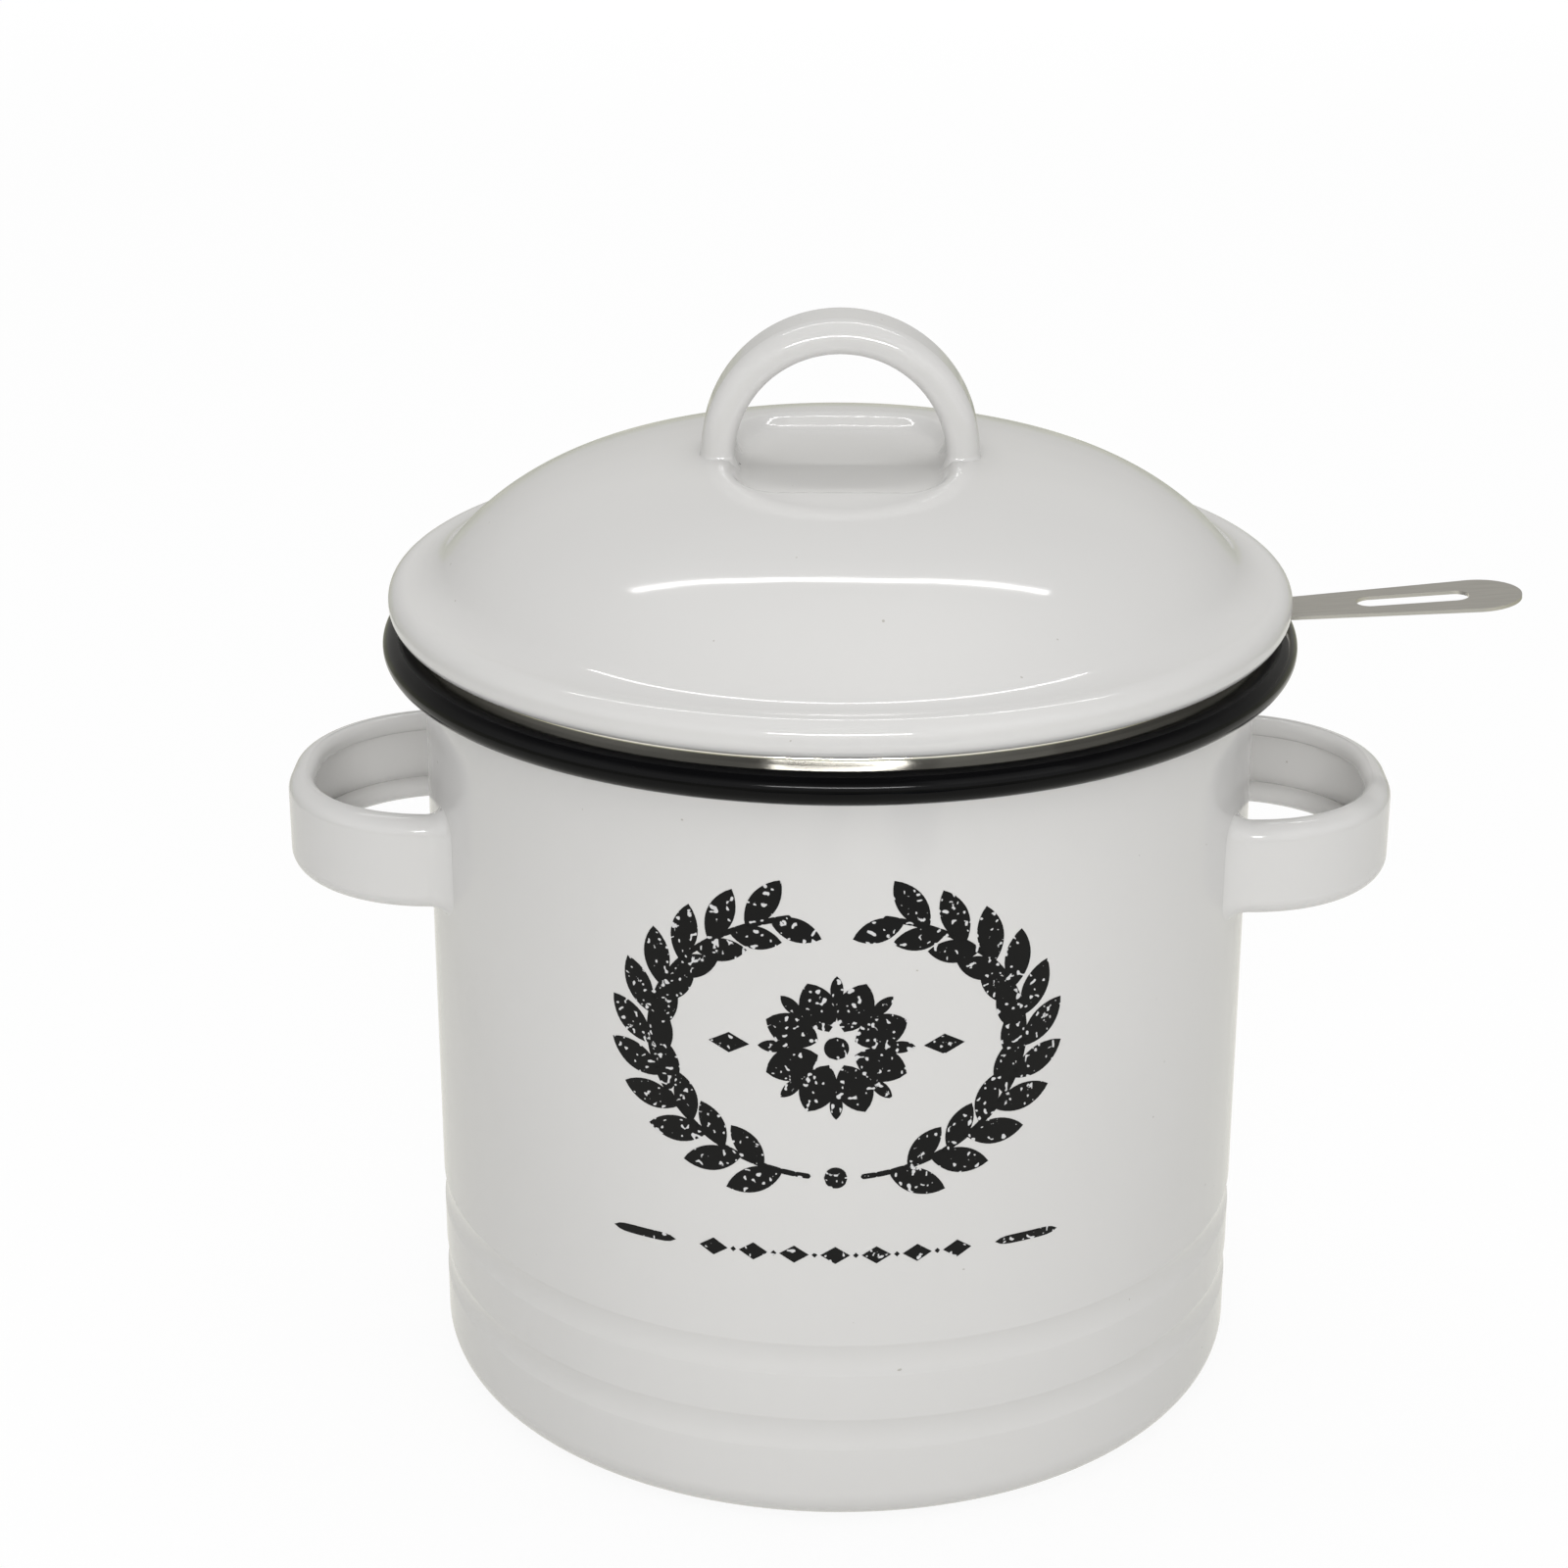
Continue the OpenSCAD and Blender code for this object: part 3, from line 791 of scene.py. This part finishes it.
def one_mark(tree, given):
    """A grid whose rows close in towards its two ends, as a thin solid."""
    grid = add(tree, "GeometryNodeMeshGrid", {"Vertices X": 13, "Vertices Y": 3})
    spot = add(tree, "GeometryNodeInputPosition")
    axes = add(tree, "ShaderNodeSeparateXYZ", (spot,)).outputs
    along = add(tree, MATH, (axes["X"],), operation="ABSOLUTE")
    along = add(tree, MATH, (along, 2.0), operation="MULTIPLY", use_clamp=True)
    narrowing = add(tree, MATH, (along, given["Corner"]), operation="POWER")
    narrowing = add(tree, MATH, (1.0, narrowing), operation="SUBTRACT")
    share = add(tree, MATH, (narrowing, given["Fullness"]), operation="POWER")
    x = add(tree, MATH, (axes["X"], given["Base"]), operation="ADD")
    x = add(tree, MATH, (x, given["Length"]), operation="MULTIPLY")
    y = add(tree, MATH, (axes["Y"], share), operation="MULTIPLY")
    y = add(tree, MATH, (y, given["Width"]), operation="MULTIPLY")
    shaped = add(tree, "ShaderNodeCombineXYZ", (x, y, PRINT_PROUD * MM))
    face = add(tree, "GeometryNodeSetPosition", {"Geometry": grid, "Position": shaped})
    return thickened(tree, face, -PRINT_DEPTH * MM)


def laid_marks(tree, given, mark):
    """Marks on an arc about the centre, or in a row when the radii are 0."""
    number = add(tree, "GeometryNodeInputIndex")
    last = add(tree, MATH, (given["Count"], 1.0), operation="SUBTRACT")
    part_way = add(tree, MATH, (last, 1.0), operation="MAXIMUM")
    part_way = add(tree, MATH, (number, part_way), operation="DIVIDE")
    swing = add(tree, MATH, (given["To"], given["From"]), operation="SUBTRACT")
    angle = add(tree, MATH, (part_way, swing, given["From"]), operation="MULTIPLY_ADD")
    sine = add(tree, MATH, (angle,), operation="SINE")
    cosine = add(tree, MATH, (angle,), operation="COSINE")
    from_middle = add(tree, MATH, (last, -0.5, number), operation="MULTIPLY_ADD")
    u = add(tree, MATH, (given["Radius U"], cosine), operation="MULTIPLY")
    u = add(tree, MATH, (given["Step"], from_middle, u), operation="MULTIPLY_ADD")
    v = add(tree, MATH, (given["Radius V"], sine, given["Centre V"]), operation="MULTIPLY_ADD")
    place = add(tree, "ShaderNodeCombineXYZ", (u, v))
    points = add(tree, "GeometryNodePoints", {"Count": given["Count"], "Position": place})

    # The path's direction is how its place changes with the angle
    rise = add(tree, MATH, (given["Radius V"], cosine), operation="MULTIPLY")
    rise = add(tree, MATH, (rise, swing), operation="MULTIPLY")
    run = add(tree, MATH, (given["Radius U"], sine), operation="MULTIPLY")
    run = add(tree, MATH, (run, swing), operation="MULTIPLY")
    run = add(tree, MATH, (given["Step"], run), operation="SUBTRACT")
    heading = add(tree, MATH, (rise, run), operation="ARCTAN2")
    heading = add(tree, MATH, (heading, given["Lean"]), operation="ADD")
    turn = add(tree, "ShaderNodeCombineXYZ", {"Z": heading})
    laid = {"Points": points, "Instance": mark, "Rotation": turn}
    return add(tree, "GeometryNodeInstanceOnPoints", laid)


def wrapped(tree, flat, wall):
    """Wraps flat marks round the wall: U becomes an angle, V the height."""
    spot = add(tree, "GeometryNodeInputPosition")
    axes = add(tree, "ShaderNodeSeparateXYZ", (spot,)).outputs
    around = add(tree, MATH, (axes["X"], wall), operation="DIVIDE")
    reach = add(tree, MATH, (wall, axes["Z"]), operation="ADD")
    x = add(tree, MATH, (around,), operation="SINE")
    x = add(tree, MATH, (reach, x), operation="MULTIPLY")
    y = add(tree, MATH, (around,), operation="COSINE")
    y = add(tree, MATH, (reach, y), operation="MULTIPLY")
    y = add(tree, MATH, (y, -1.0), operation="MULTIPLY")
    bent = add(tree, "ShaderNodeCombineXYZ", (x, y, axes["Y"]))
    return add(tree, "GeometryNodeSetPosition", {"Geometry": flat, "Position": bent})


def marks_tree():
    """Lays pointed marks along an arc or a row and wraps them round the wall."""
    path = ("Centre V", "Radius U", "Radius V", "From", "To", "Step", "Lean")
    shape = ("Length", "Width", "Base", "Corner", "Fullness", "Wall")
    tree, given = new_tree("printed_marks", path + shape, counts=("Count",))
    laid = laid_marks(tree, given, one_mark(tree, given))
    flat = add(tree, "GeometryNodeRealizeInstances", {0: laid})
    end_tree(tree, wrapped(tree, flat, given["Wall"]), given["Material"])
    return tree


marks = marks_tree()
print(marks.name, "has", len(marks.nodes), "nodes")

# %% [markdown]
# The wreath has two branches that grow from the bottom to the top, each with
# a stem of short dashes and leaves that lean to both sides of it. Every row
# below is one run of the tree. Lengths are millimetres and angles degrees, so
# the layout can be changed like a drawing.

# %% Lay out the print
WREATH_U = 29.5
WREATH_V = 22.0
FLOWER_V = 85.0
ROW_V = 49.5
LEAF = {"Length": 9.6, "Width": 4.3, "Base": 0.5, "Corner": 2.0, "Fullness": 0.9}
SMALL_LEAF = {**LEAF, "Length": 8.2, "Width": 3.8}
STEM = {"Length": 2.6, "Width": 0.9, "Corner": 6.0, "Fullness": 0.5}
KNOT = {"Length": 3.6, "Width": 3.6, "Base": 0.0, "Corner": 2.0, "Fullness": 0.5}
HEART = {**KNOT, "Length": 3.8, "Width": 3.8}


def branch(start, end, count, lean, shape):
    """Marks along one side of the wreath's ellipse."""
    ellipse = {"Centre V": FLOWER_V, "Radius U": WREATH_U, "Radius V": WREATH_V}
    return {"Count": count, "From": start, "To": end, "Lean": lean, **ellipse, **shape}


def petals(count, radius, turn, length, width):
    """Marks that point outwards from the flower's middle."""
    ring = {"Count": count, "Radius U": radius, "Radius V": radius, "Centre V": FLOWER_V}
    arc_of_ring = {"From": turn, "To": turn + 360 - 360 / count, "Lean": -90}
    shape = {"Length": length, "Width": width, "Base": 0.5, "Corner": 2.0, "Fullness": 0.8}
    return {**ring, **arc_of_ring, **shape}


def row_of(count, step, length, width, corner, height=ROW_V):
    """Marks side by side in a straight row."""
    shape = {"Length": length, "Width": width, "Corner": corner, "Fullness": 1.0}
    return {"Count": count, "Step": step, "Centre V": height, **shape}


print_rows = [
    branch(-80, 74, 36, 0, STEM),
    branch(-100, -254, 36, 0, STEM),
    branch(-74, 62, 11, -34, LEAF),
    branch(-68, 70, 11, 34, SMALL_LEAF),
    branch(-106, -242, 11, 34, LEAF),
    branch(-112, -250, 11, -34, SMALL_LEAF),
    branch(-90, -90, 1, 0, KNOT),
    petals(8, 3.0, 22.5, 8.6, 5.6),
    petals(8, 7.4, 0, 4.6, 2.0),
    petals(1, 0, 0, 0, 0) | HEART,
    row_of(2, 33.0, 6.4, 3.4, 1.0, FLOWER_V),
    row_of(2, 62.0, 11.0, 1.5, 6.0),
    row_of(7, 6.4, 4.6, 3.0, 1.0),
    row_of(6, 6.4, 0.9, 0.9, 1.0),
]
print("marks in the print:", sum(row["Count"] for row in print_rows))

# %% [markdown]
# Each row is grown by itself and then joined to the others, because one mesh
# for the whole print is easier to hand on than fourteen.

# %% Print the marks and join them
ANGLES = ("From", "To", "Lean")
PLAIN = ("Count", "Base", "Corner", "Fullness")


def in_scene_units(row):
    """Millimetres to metres, degrees to radians, and plain numbers as they are."""
    units = {}
    for key, value in row.items():
        scale = math.radians(1) if key in ANGLES else 1 if key in PLAIN else MM
        units[key] = value * scale
    return {**units, "Wall": pot_r * MM, "Material": print_ink}


inked = bmesh.new()
for index, row in enumerate(print_rows):
    part = grown(f"print_{index}", marks, in_scene_units(row))
    inked.from_mesh(part.data)
    bpy.data.objects.remove(part)
front_print = from_bmesh("front_print", inked)
front_print.data.materials.append(print_ink)
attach(front_print, "pot")
print("front_print:", len(print_rows), "rows,", len(front_print.data.polygons), "faces")

# %% [markdown]
# ## The lid
# The lid is pressed from one sheet: a flat crown, a round shoulder, a hollow
# sweep down to a ledge, and a rolled brim that turns back under to the plug
# ring. A spline through a few points could draw that, but the real tool has
# arcs. Two arcs that touch share a line through both centres, and the outline
# uses that to find its centres from the ledge upwards.

# %% Lid outline
BRIM_TOP_ROUND = 3.0
BRIM_LOW_ROUND = 2.9
BRIM_HEIGHT = 6.4
SWEEP_R = 8.5
FLANK = 2.1
SHOULDER_R = 43.3
CROWN_R = 86.0
CROWN_SLOPE = 18.5
SHOULDER_SLOPE = 46.5
FLAT_RINGS = 20
brim_r = sizes("lid_shell")[0]
plug_r = sizes("lid_skirt")[0]
ledge_z = flange_top + BRIM_HEIGHT


def step_back(centre, length, slope):
    """The centre that lies length further along the line that leans by slope degrees."""
    lean = math.radians(slope)
    return (centre[0] - length * math.sin(lean), centre[1] - length * math.cos(lean))


sweep_c = (brim_r - BRIM_TOP_ROUND, ledge_z + SWEEP_R)
flank_end = step_back(sweep_c, FLANK, SHOULDER_SLOPE + 90)
shoulder_c = step_back(flank_end, SWEEP_R + SHOULDER_R, SHOULDER_SLOPE)
crown_c = step_back(shoulder_c, CROWN_R - SHOULDER_R, CROWN_SLOPE)
dome_top = crown_c[1] + CROWN_R


def lid_line(out):
    """The sheet's line from the crown over the brim and back under to the plug ring."""
    flat = [(crown_c[0] * i / FLAT_RINGS, dome_top + out) for i in range(FLAT_RINGS)]
    line = flat + arc(*crown_c, CROWN_R + out, 90, 90 - CROWN_SLOPE, 34)
    line += arc(*shoulder_c, SHOULDER_R + out, 90 - CROWN_SLOPE, 90 - SHOULDER_SLOPE, 20)
    line += arc(*sweep_c, SWEEP_R - out, 270 - SHOULDER_SLOPE, 270, 12)
    for z, radius, start in (
        (ledge_z - BRIM_TOP_ROUND, BRIM_TOP_ROUND, 90),
        (flange_top + BRIM_LOW_ROUND, BRIM_LOW_ROUND, 0),
    ):
        line += arc(brim_r - radius, z, radius + out, start, start - 90, 12)
    return line + [(plug_r, flange_top - out)]


print("the dome's top is", round(dome_top - ledge_z, 1), "mm above its ledge")

# %% [markdown]
# A finger hollow is pressed across the crown, so that fingers fit under the
# grip. A boolean would cut it with a knife edge, which pressed sheet never
# has. Instead, each height is a smooth minimum of the dome and a trough with
# rounded ends, and the whole sheet follows, so its thickness stays.

# %% Finger hollow
HOLLOW_HALF = 15.2
HOLLOW_END = 15.5
HOLLOW_CORNER = 6.0
HOLLOW_EASE = 0.62
HOLLOW_DEPTH = 2.2
HOLLOW_ROUND = 1.8
HOLLOW_SLOPE = math.radians(52)
HOLLOW_SOFTNESS = 0.45


def trough(x, y):
    """Height of the finger hollow's pressed surface, in mm."""
    over_x = max(abs(x) - HOLLOW_HALF + HOLLOW_CORNER, 0.0)
    over_y = max(abs(y) - HOLLOW_END + HOLLOW_CORNER, 0.0) * HOLLOW_EASE
    beyond = max(math.hypot(over_x, over_y) - HOLLOW_CORNER, 0.0)
    bend = min(beyond, HOLLOW_ROUND * math.sin(HOLLOW_SLOPE))
    rise = HOLLOW_ROUND - math.sqrt(HOLLOW_ROUND**2 - bend**2)
    return dome_top - HOLLOW_DEPTH + rise + (beyond - bend) * math.tan(HOLLOW_SLOPE)


def dome_height(r):
    """Height of the unpressed dome's outer surface at radius r."""
    if r <= crown_c[0]:
        return dome_top
    split = crown_c[0] + CROWN_R * math.sin(math.radians(CROWN_SLOPE))
    centre, radius = (crown_c, CROWN_R) if r < split else (shoulder_c, SHOULDER_R)
    return centre[1] + math.sqrt(max(radius**2 - (r - centre[0]) ** 2, 0.0))


def pressed_height(x, y):
    """The lower of the dome and the hollow, with a round blend where they meet."""
    dome, hollow = dome_height(math.hypot(x, y)), trough(x, y)
    blend = HOLLOW_SOFTNESS * 3
    gap = max(blend - abs(dome - hollow), 0.0) / blend
    return min(dome, hollow) - gap**3 * HOLLOW_SOFTNESS / 2


print("the hollow's floor is", round(dome_top - pressed_height(0, 0), 1), "mm down")

# %% [markdown]
# The hollow isn't round, so it can't be in the turned outline. The dome is
# turned first and pressed after, and only its part well inside the shoulder
# moves.

# %% Lid shell
LID_WALL = 0.8
LID_SEGMENTS = 320
PRESS_MARGIN = 4
BRIM_CLEAR = 2
lid_outline = lid_line(0) + lid_line(-LID_WALL)[::-1]
lid_dome = turned("lid_dome", lid_outline, pot_white, LID_SEGMENTS)
shoulder_end = shoulder_c[0] + SHOULDER_R * math.sin(math.radians(SHOULDER_SLOPE))
for vertex in lid_dome.data.vertices:
    x, y, z = vertex.co / MM
    if math.hypot(x, y) < shoulder_end - PRESS_MARGIN and z > ledge_z + BRIM_CLEAR:
        vertex.co.z = (z - dome_height(math.hypot(x, y)) + pressed_height(x, y)) * MM
lid_dome.data.update()
stand_for(lid_dome, "lid", "white_enamel", "lid_shell")

# %% [markdown]
# ## The plug ring
# Under the brim a ring drops into the strainer and centres the lid. Its lower
# edge curls in a little and ends in a thin bead of black enamel. Both are
# turned, and the bead takes its place from the end of the ring's own line, so
# that the two stay together when the ring is changed.

# %% Plug ring and its black edge
PLUG_DROP = 10.1
PLUG_CURL = 8.0
PLUG_CURL_HEIGHT = 4.0
PLUG_BEAD = 0.85
BEAD_POINTS = 20
curl_angle = math.degrees(math.asin(PLUG_CURL_HEIGHT / PLUG_CURL))
curl_z = flange_top - PLUG_DROP + PLUG_CURL_HEIGHT


def plug_line(out):
    """The ring's line from the lid's underside down to its curled edge."""
    curl = arc(plug_r - PLUG_CURL, curl_z, PLUG_CURL + out, 0, -curl_angle, 10)
    return [(plug_r + out, flange_top + LID_WALL)] + curl


plug_ring = turned("plug_ring", plug_line(0) + plug_line(-LID_WALL)[::-1], pot_white)
stand_for(plug_ring, "lid", "white_enamel", "lid_skirt")
bead_r, bead_z = plug_line(-LID_WALL / 2)[-1]
bead = arc(bead_r, bead_z, PLUG_BEAD, 0, 360, BEAD_POINTS)[:-1]
plug_edge = turned("plug_edge", bead, black_enamel)
stand_for(plug_edge, "lid", "black_enamel", "lid_edge")

# %% [markdown]
# ## The lid's arch
# The grip is the same pressed strip as the ears, bent to a half circle and
# stood across the finger hollow. It uses the ears' sweep with another path,
# and its feet follow the pressed surface.

# %% Lid handle
ARCH_DEPTH = 5.5
ARCH_FILLET = 2.2
FOOT_SINK = 0.5
arch_low, arch_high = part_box("lid_handle")
arch_r = arch_high.x / MM
arch_width = (arch_high.y - arch_low.y) / MM


def arch_path():
    """The line of the arch's open side, from foot to foot."""
    inner = arch_r - ARCH_DEPTH
    half = [(inner, 0.0, 1.0, 0.0, i / LEG_RINGS) for i in range(LEG_RINGS)]
    half += [(inner * u, inner * w, u, w, 1.0) for u, w in arc(0, 0, 1, 0, 90, 54)]
    rows = half + [(-x, z, -u, w, share) for x, z, u, w, share in reversed(half[:-1])]
    return [
        (Vector((x, 0, dome_top + z)), Vector((u, 0, w)), share) for x, z, u, w, share in rows
    ]


def seat_on_lid(point):
    """Moves a point up or down until it lies just inside the lid's surface."""
    return Vector((point.x, point.y, pressed_height(point.x, point.y) - FOOT_SINK))


ACROSS = Vector((0, 1, 0))
arch_section = channel(ARCH_DEPTH, arch_width)
lid_arch = swept("lid_arch", arch_section, arch_path(), ACROSS, seat_on_lid, ARCH_FILLET)
stand_for(lid_arch, "lid", "white_enamel", "lid_handle")

# %% [markdown]
# ## Floor
# A pale paper sheet catches the pot's shadow. More light could make it white,
# but would burn out the white enamel. With Light Path, the camera sees most of
# the paper as plain white, while the rest still carries the shadow. Polished
# steel mirrors the room round it, and there is no room here, so the floor
# glows with a painted reflection of one that only mirrored rays see: the paper
# ends about half a metre from the pot, a painted table beyond is darker, and
# a painted blue-grey screen stands a little right of the middle.

# %% The painted room that mirrored rays see
PAINTED_PAPER_EDGE = 0.49
EDGE_BLUR = 0.03
PAINTED_PAPER_RAGGED = 0.12
PAINTED_REFLECTION_NOISE_SCALE = 11.0
PAINTED_SCREEN_AT = (0.06, -0.50, 0.0)
PAINTED_SCREEN_WIDTH = (0.6, 1.0, 1.0)
PAINTED_SCREEN_REACH = (0.31, 0.33)
PAINTED_SCREEN_RAGGED = 0.35
floor_paint = bpy.data.materials.new("floor_paper")
floor_paint.use_nodes = True
tree = floor_paint.node_tree
tree.nodes.clear()
spot = add(tree, "ShaderNodeTexCoord").outputs["Object"]
painted_reflection_noise = add(tree, NOISE, {"Vector": spot, "Scale": PAINTED_REFLECTION_NOISE_SCALE, "Detail": 2.0})
reach = add(tree, "ShaderNodeVectorMath", (spot,), operation="LENGTH")
reach = add(tree, MATH, (painted_reflection_noise, PAINTED_PAPER_RAGGED, reach), operation="MULTIPLY_ADD")
squeezed = add(tree, "ShaderNodeMapping", {"Vector": spot, "Scale": PAINTED_SCREEN_WIDTH})
painted_screen_distance = add(tree, "ShaderNodeVectorMath", (squeezed, PAINTED_SCREEN_AT), operation="DISTANCE")
painted_screen_distance = add(tree, MATH, (painted_reflection_noise, PAINTED_SCREEN_RAGGED, painted_screen_distance), operation="MULTIPLY_ADD")
# Painted reflection of a darker table, mottled by the noise, beyond the painted paper's ragged
# edge
table_reflection_mottle = add(tree, RANGE, (painted_reflection_noise, 0.42, 0.58))
painted_table_reflection = add(tree, MIX, (table_reflection_mottle, srgb("#959889"), srgb("#C6C5B4")), data_type="RGBA")
beyond = add(tree, RANGE, (reach, PAINTED_PAPER_EDGE, PAINTED_PAPER_EDGE + EDGE_BLUR))
around = add(tree, MIX, (beyond, srgb("#EDECE4"), painted_table_reflection), data_type="RGBA")
# Painted reflection of a dark blue-grey screen, mottled by the same noise
screen_reflection_mottle = add(tree, RANGE, (painted_reflection_noise, 0.5, 0.6))
painted_screen_reflection = add(tree, MIX, (screen_reflection_mottle, srgb("#3A4450"), srgb("#8597A6")), data_type="RGBA")
outside = add(tree, RANGE, (painted_screen_distance, *PAINTED_SCREEN_REACH))
# room is the whole painted reflection: the painted screen laid over the painted paper and table
room = add(tree, MIX, (outside, painted_screen_reflection, around), data_type="RGBA")
print("the mirrored room takes", len(tree.nodes), "nodes")

# %% [markdown]
# The same sheet now answers three kinds of ray in its own way: the camera's
# with near-white paper, mirrored ones with the painted reflection of a room,
# and all others with plain diffuse paper, which is what bounces soft light
# back up onto the pot.

# %% Floor
FLOOR_RADIUS = 6.0
FLOOR_DROP = 0.0002
CAMERA_WHITE = 0.9
path = add(tree, "ShaderNodeLightPath").outputs
paper = add(tree, "ShaderNodeBsdfDiffuse", {"Color": srgb("#DEDEDE")})
white = add(tree, "ShaderNodeBsdfDiffuse", {"Color": srgb("#FFFFFF")})
glow = add(tree, "ShaderNodeEmission", {"Color": srgb("#FFFFFF"), "Strength": 1.0})
shown = add(tree, "ShaderNodeMixShader", (CAMERA_WHITE, white, glow))
# Mirrored rays get the painted reflection as a glow, in place of lit paper
mirrored = add(tree, "ShaderNodeEmission", {"Color": room, "Strength": 1.0})
unseen = add(tree, "ShaderNodeMixShader", (path["Is Glossy Ray"], paper, mirrored))
surface = add(tree, "ShaderNodeMixShader", (path["Is Camera Ray"], unseen, shown))
add(tree, "ShaderNodeOutputMaterial", {"Surface": surface})
bm = bmesh.new()
bmesh.ops.create_circle(bm, cap_ends=True, segments=96, radius=FLOOR_RADIUS)
floor = from_bmesh("floor", bm)
floor.location.z = -FLOOR_DROP
floor.data.materials.append(floor_paint)
print("floor:", 2 * FLOOR_RADIUS, "m across")

# %% [markdown]
# ## World
# The rest of the light is a plain soft sky, brighter overhead. One flat grey
# would do for the enamel, but not for what is mirrored: a rim under a white
# ceiling looks grey. So mirrored rays see pale walls, dimmer behind the pot,
# under a dark ceiling, which keeps the black rim black.

# %% World
world = bpy.data.worlds.new("studio")
bpy.context.scene.world = world
world.use_nodes = True
tree = world.node_tree
tree.nodes.clear()
path = add(tree, "ShaderNodeLightPath").outputs
heading = add(tree, "ShaderNodeTexCoord").outputs["Generated"]
axes = add(tree, "ShaderNodeSeparateXYZ", (heading,)).outputs
behind = add(tree, RANGE, (axes["Y"], -0.3, 0.3))
overhead = add(tree, RANGE, (axes["Z"], 0.4, 0.75))
upward = add(tree, RANGE, (axes["Z"], 0.0, 0.9))
walls = add(tree, MIX, (behind, srgb("#FFFFFF"), srgb("#B7B6B2")), data_type="RGBA")
room = add(tree, MIX, (overhead, walls, srgb("#58595C")), data_type="RGBA")
soft = add(tree, MIX, (upward, srgb("#6E6E6E"), srgb("#E8E8E8")), data_type="RGBA")
mirrored = add(tree, MIX, (path["Is Glossy Ray"], soft, room), data_type="RGBA")
sky = add(tree, MIX, (path["Is Camera Ray"], mirrored, srgb("#FFFFFF")), data_type="RGBA")
background = add(tree, "ShaderNodeBackground", {"Color": sky, "Strength": 1.0})
add(tree, "ShaderNodeOutputWorld", {"Surface": background})
print("world:", len(tree.nodes), "nodes")

# %% [markdown]
# ## Lamps
# A wide soft key stands at the upper right. A thin strip shines from behind
# and above the camera along its line of sight, so it reaches into the gap
# under a lifted strainer. A long strip overhead draws the bright line across
# the lid. A wide fill behind keeps the pot's back white; it isn't mirrored,
# because its image would wash out the rim and the steel. Sun lamps would be
# simpler, but a gloss shows its lamps, and only an area lamp has a shape.

# %% Lamps
def lamp(name, place, aim, size, power, mirrored=True):
    """A soft rectangular lamp that points at aim. Glossy surfaces may mirror it or not."""
    data = bpy.data.lights.new(name, "AREA")
    data.shape = "RECTANGLE"
    data.size, data.size_y = size
    data.energy = power
    light = put(name, data)
    light.location = place
    light.visible_glossy = mirrored
    light.rotation_euler = (Vector(aim) - Vector(place)).to_track_quat("-Z", "Y").to_euler()


WALL_MIDDLE = (0, 0, 0.09)
MOUTH = (0, 0, 0.12)
lamp("key", (1.0, -1.1, 1.1), WALL_MIDDLE, (1.0, 1.0), 1.5)
lamp("camera_side", (0.0, -1.0, 0.485), MOUTH, (0.6, 0.045), 4.2)
lamp("strip", (0.0, 0.42, 1.25), MOUTH, (1.35, 0.04), 2.6)
lamp("fill", (0.0, 2.3, 0.49), WALL_MIDDLE, (2.0, 0.8), 11.3, mirrored=False)
print("lamps:", len(bpy.data.lights))
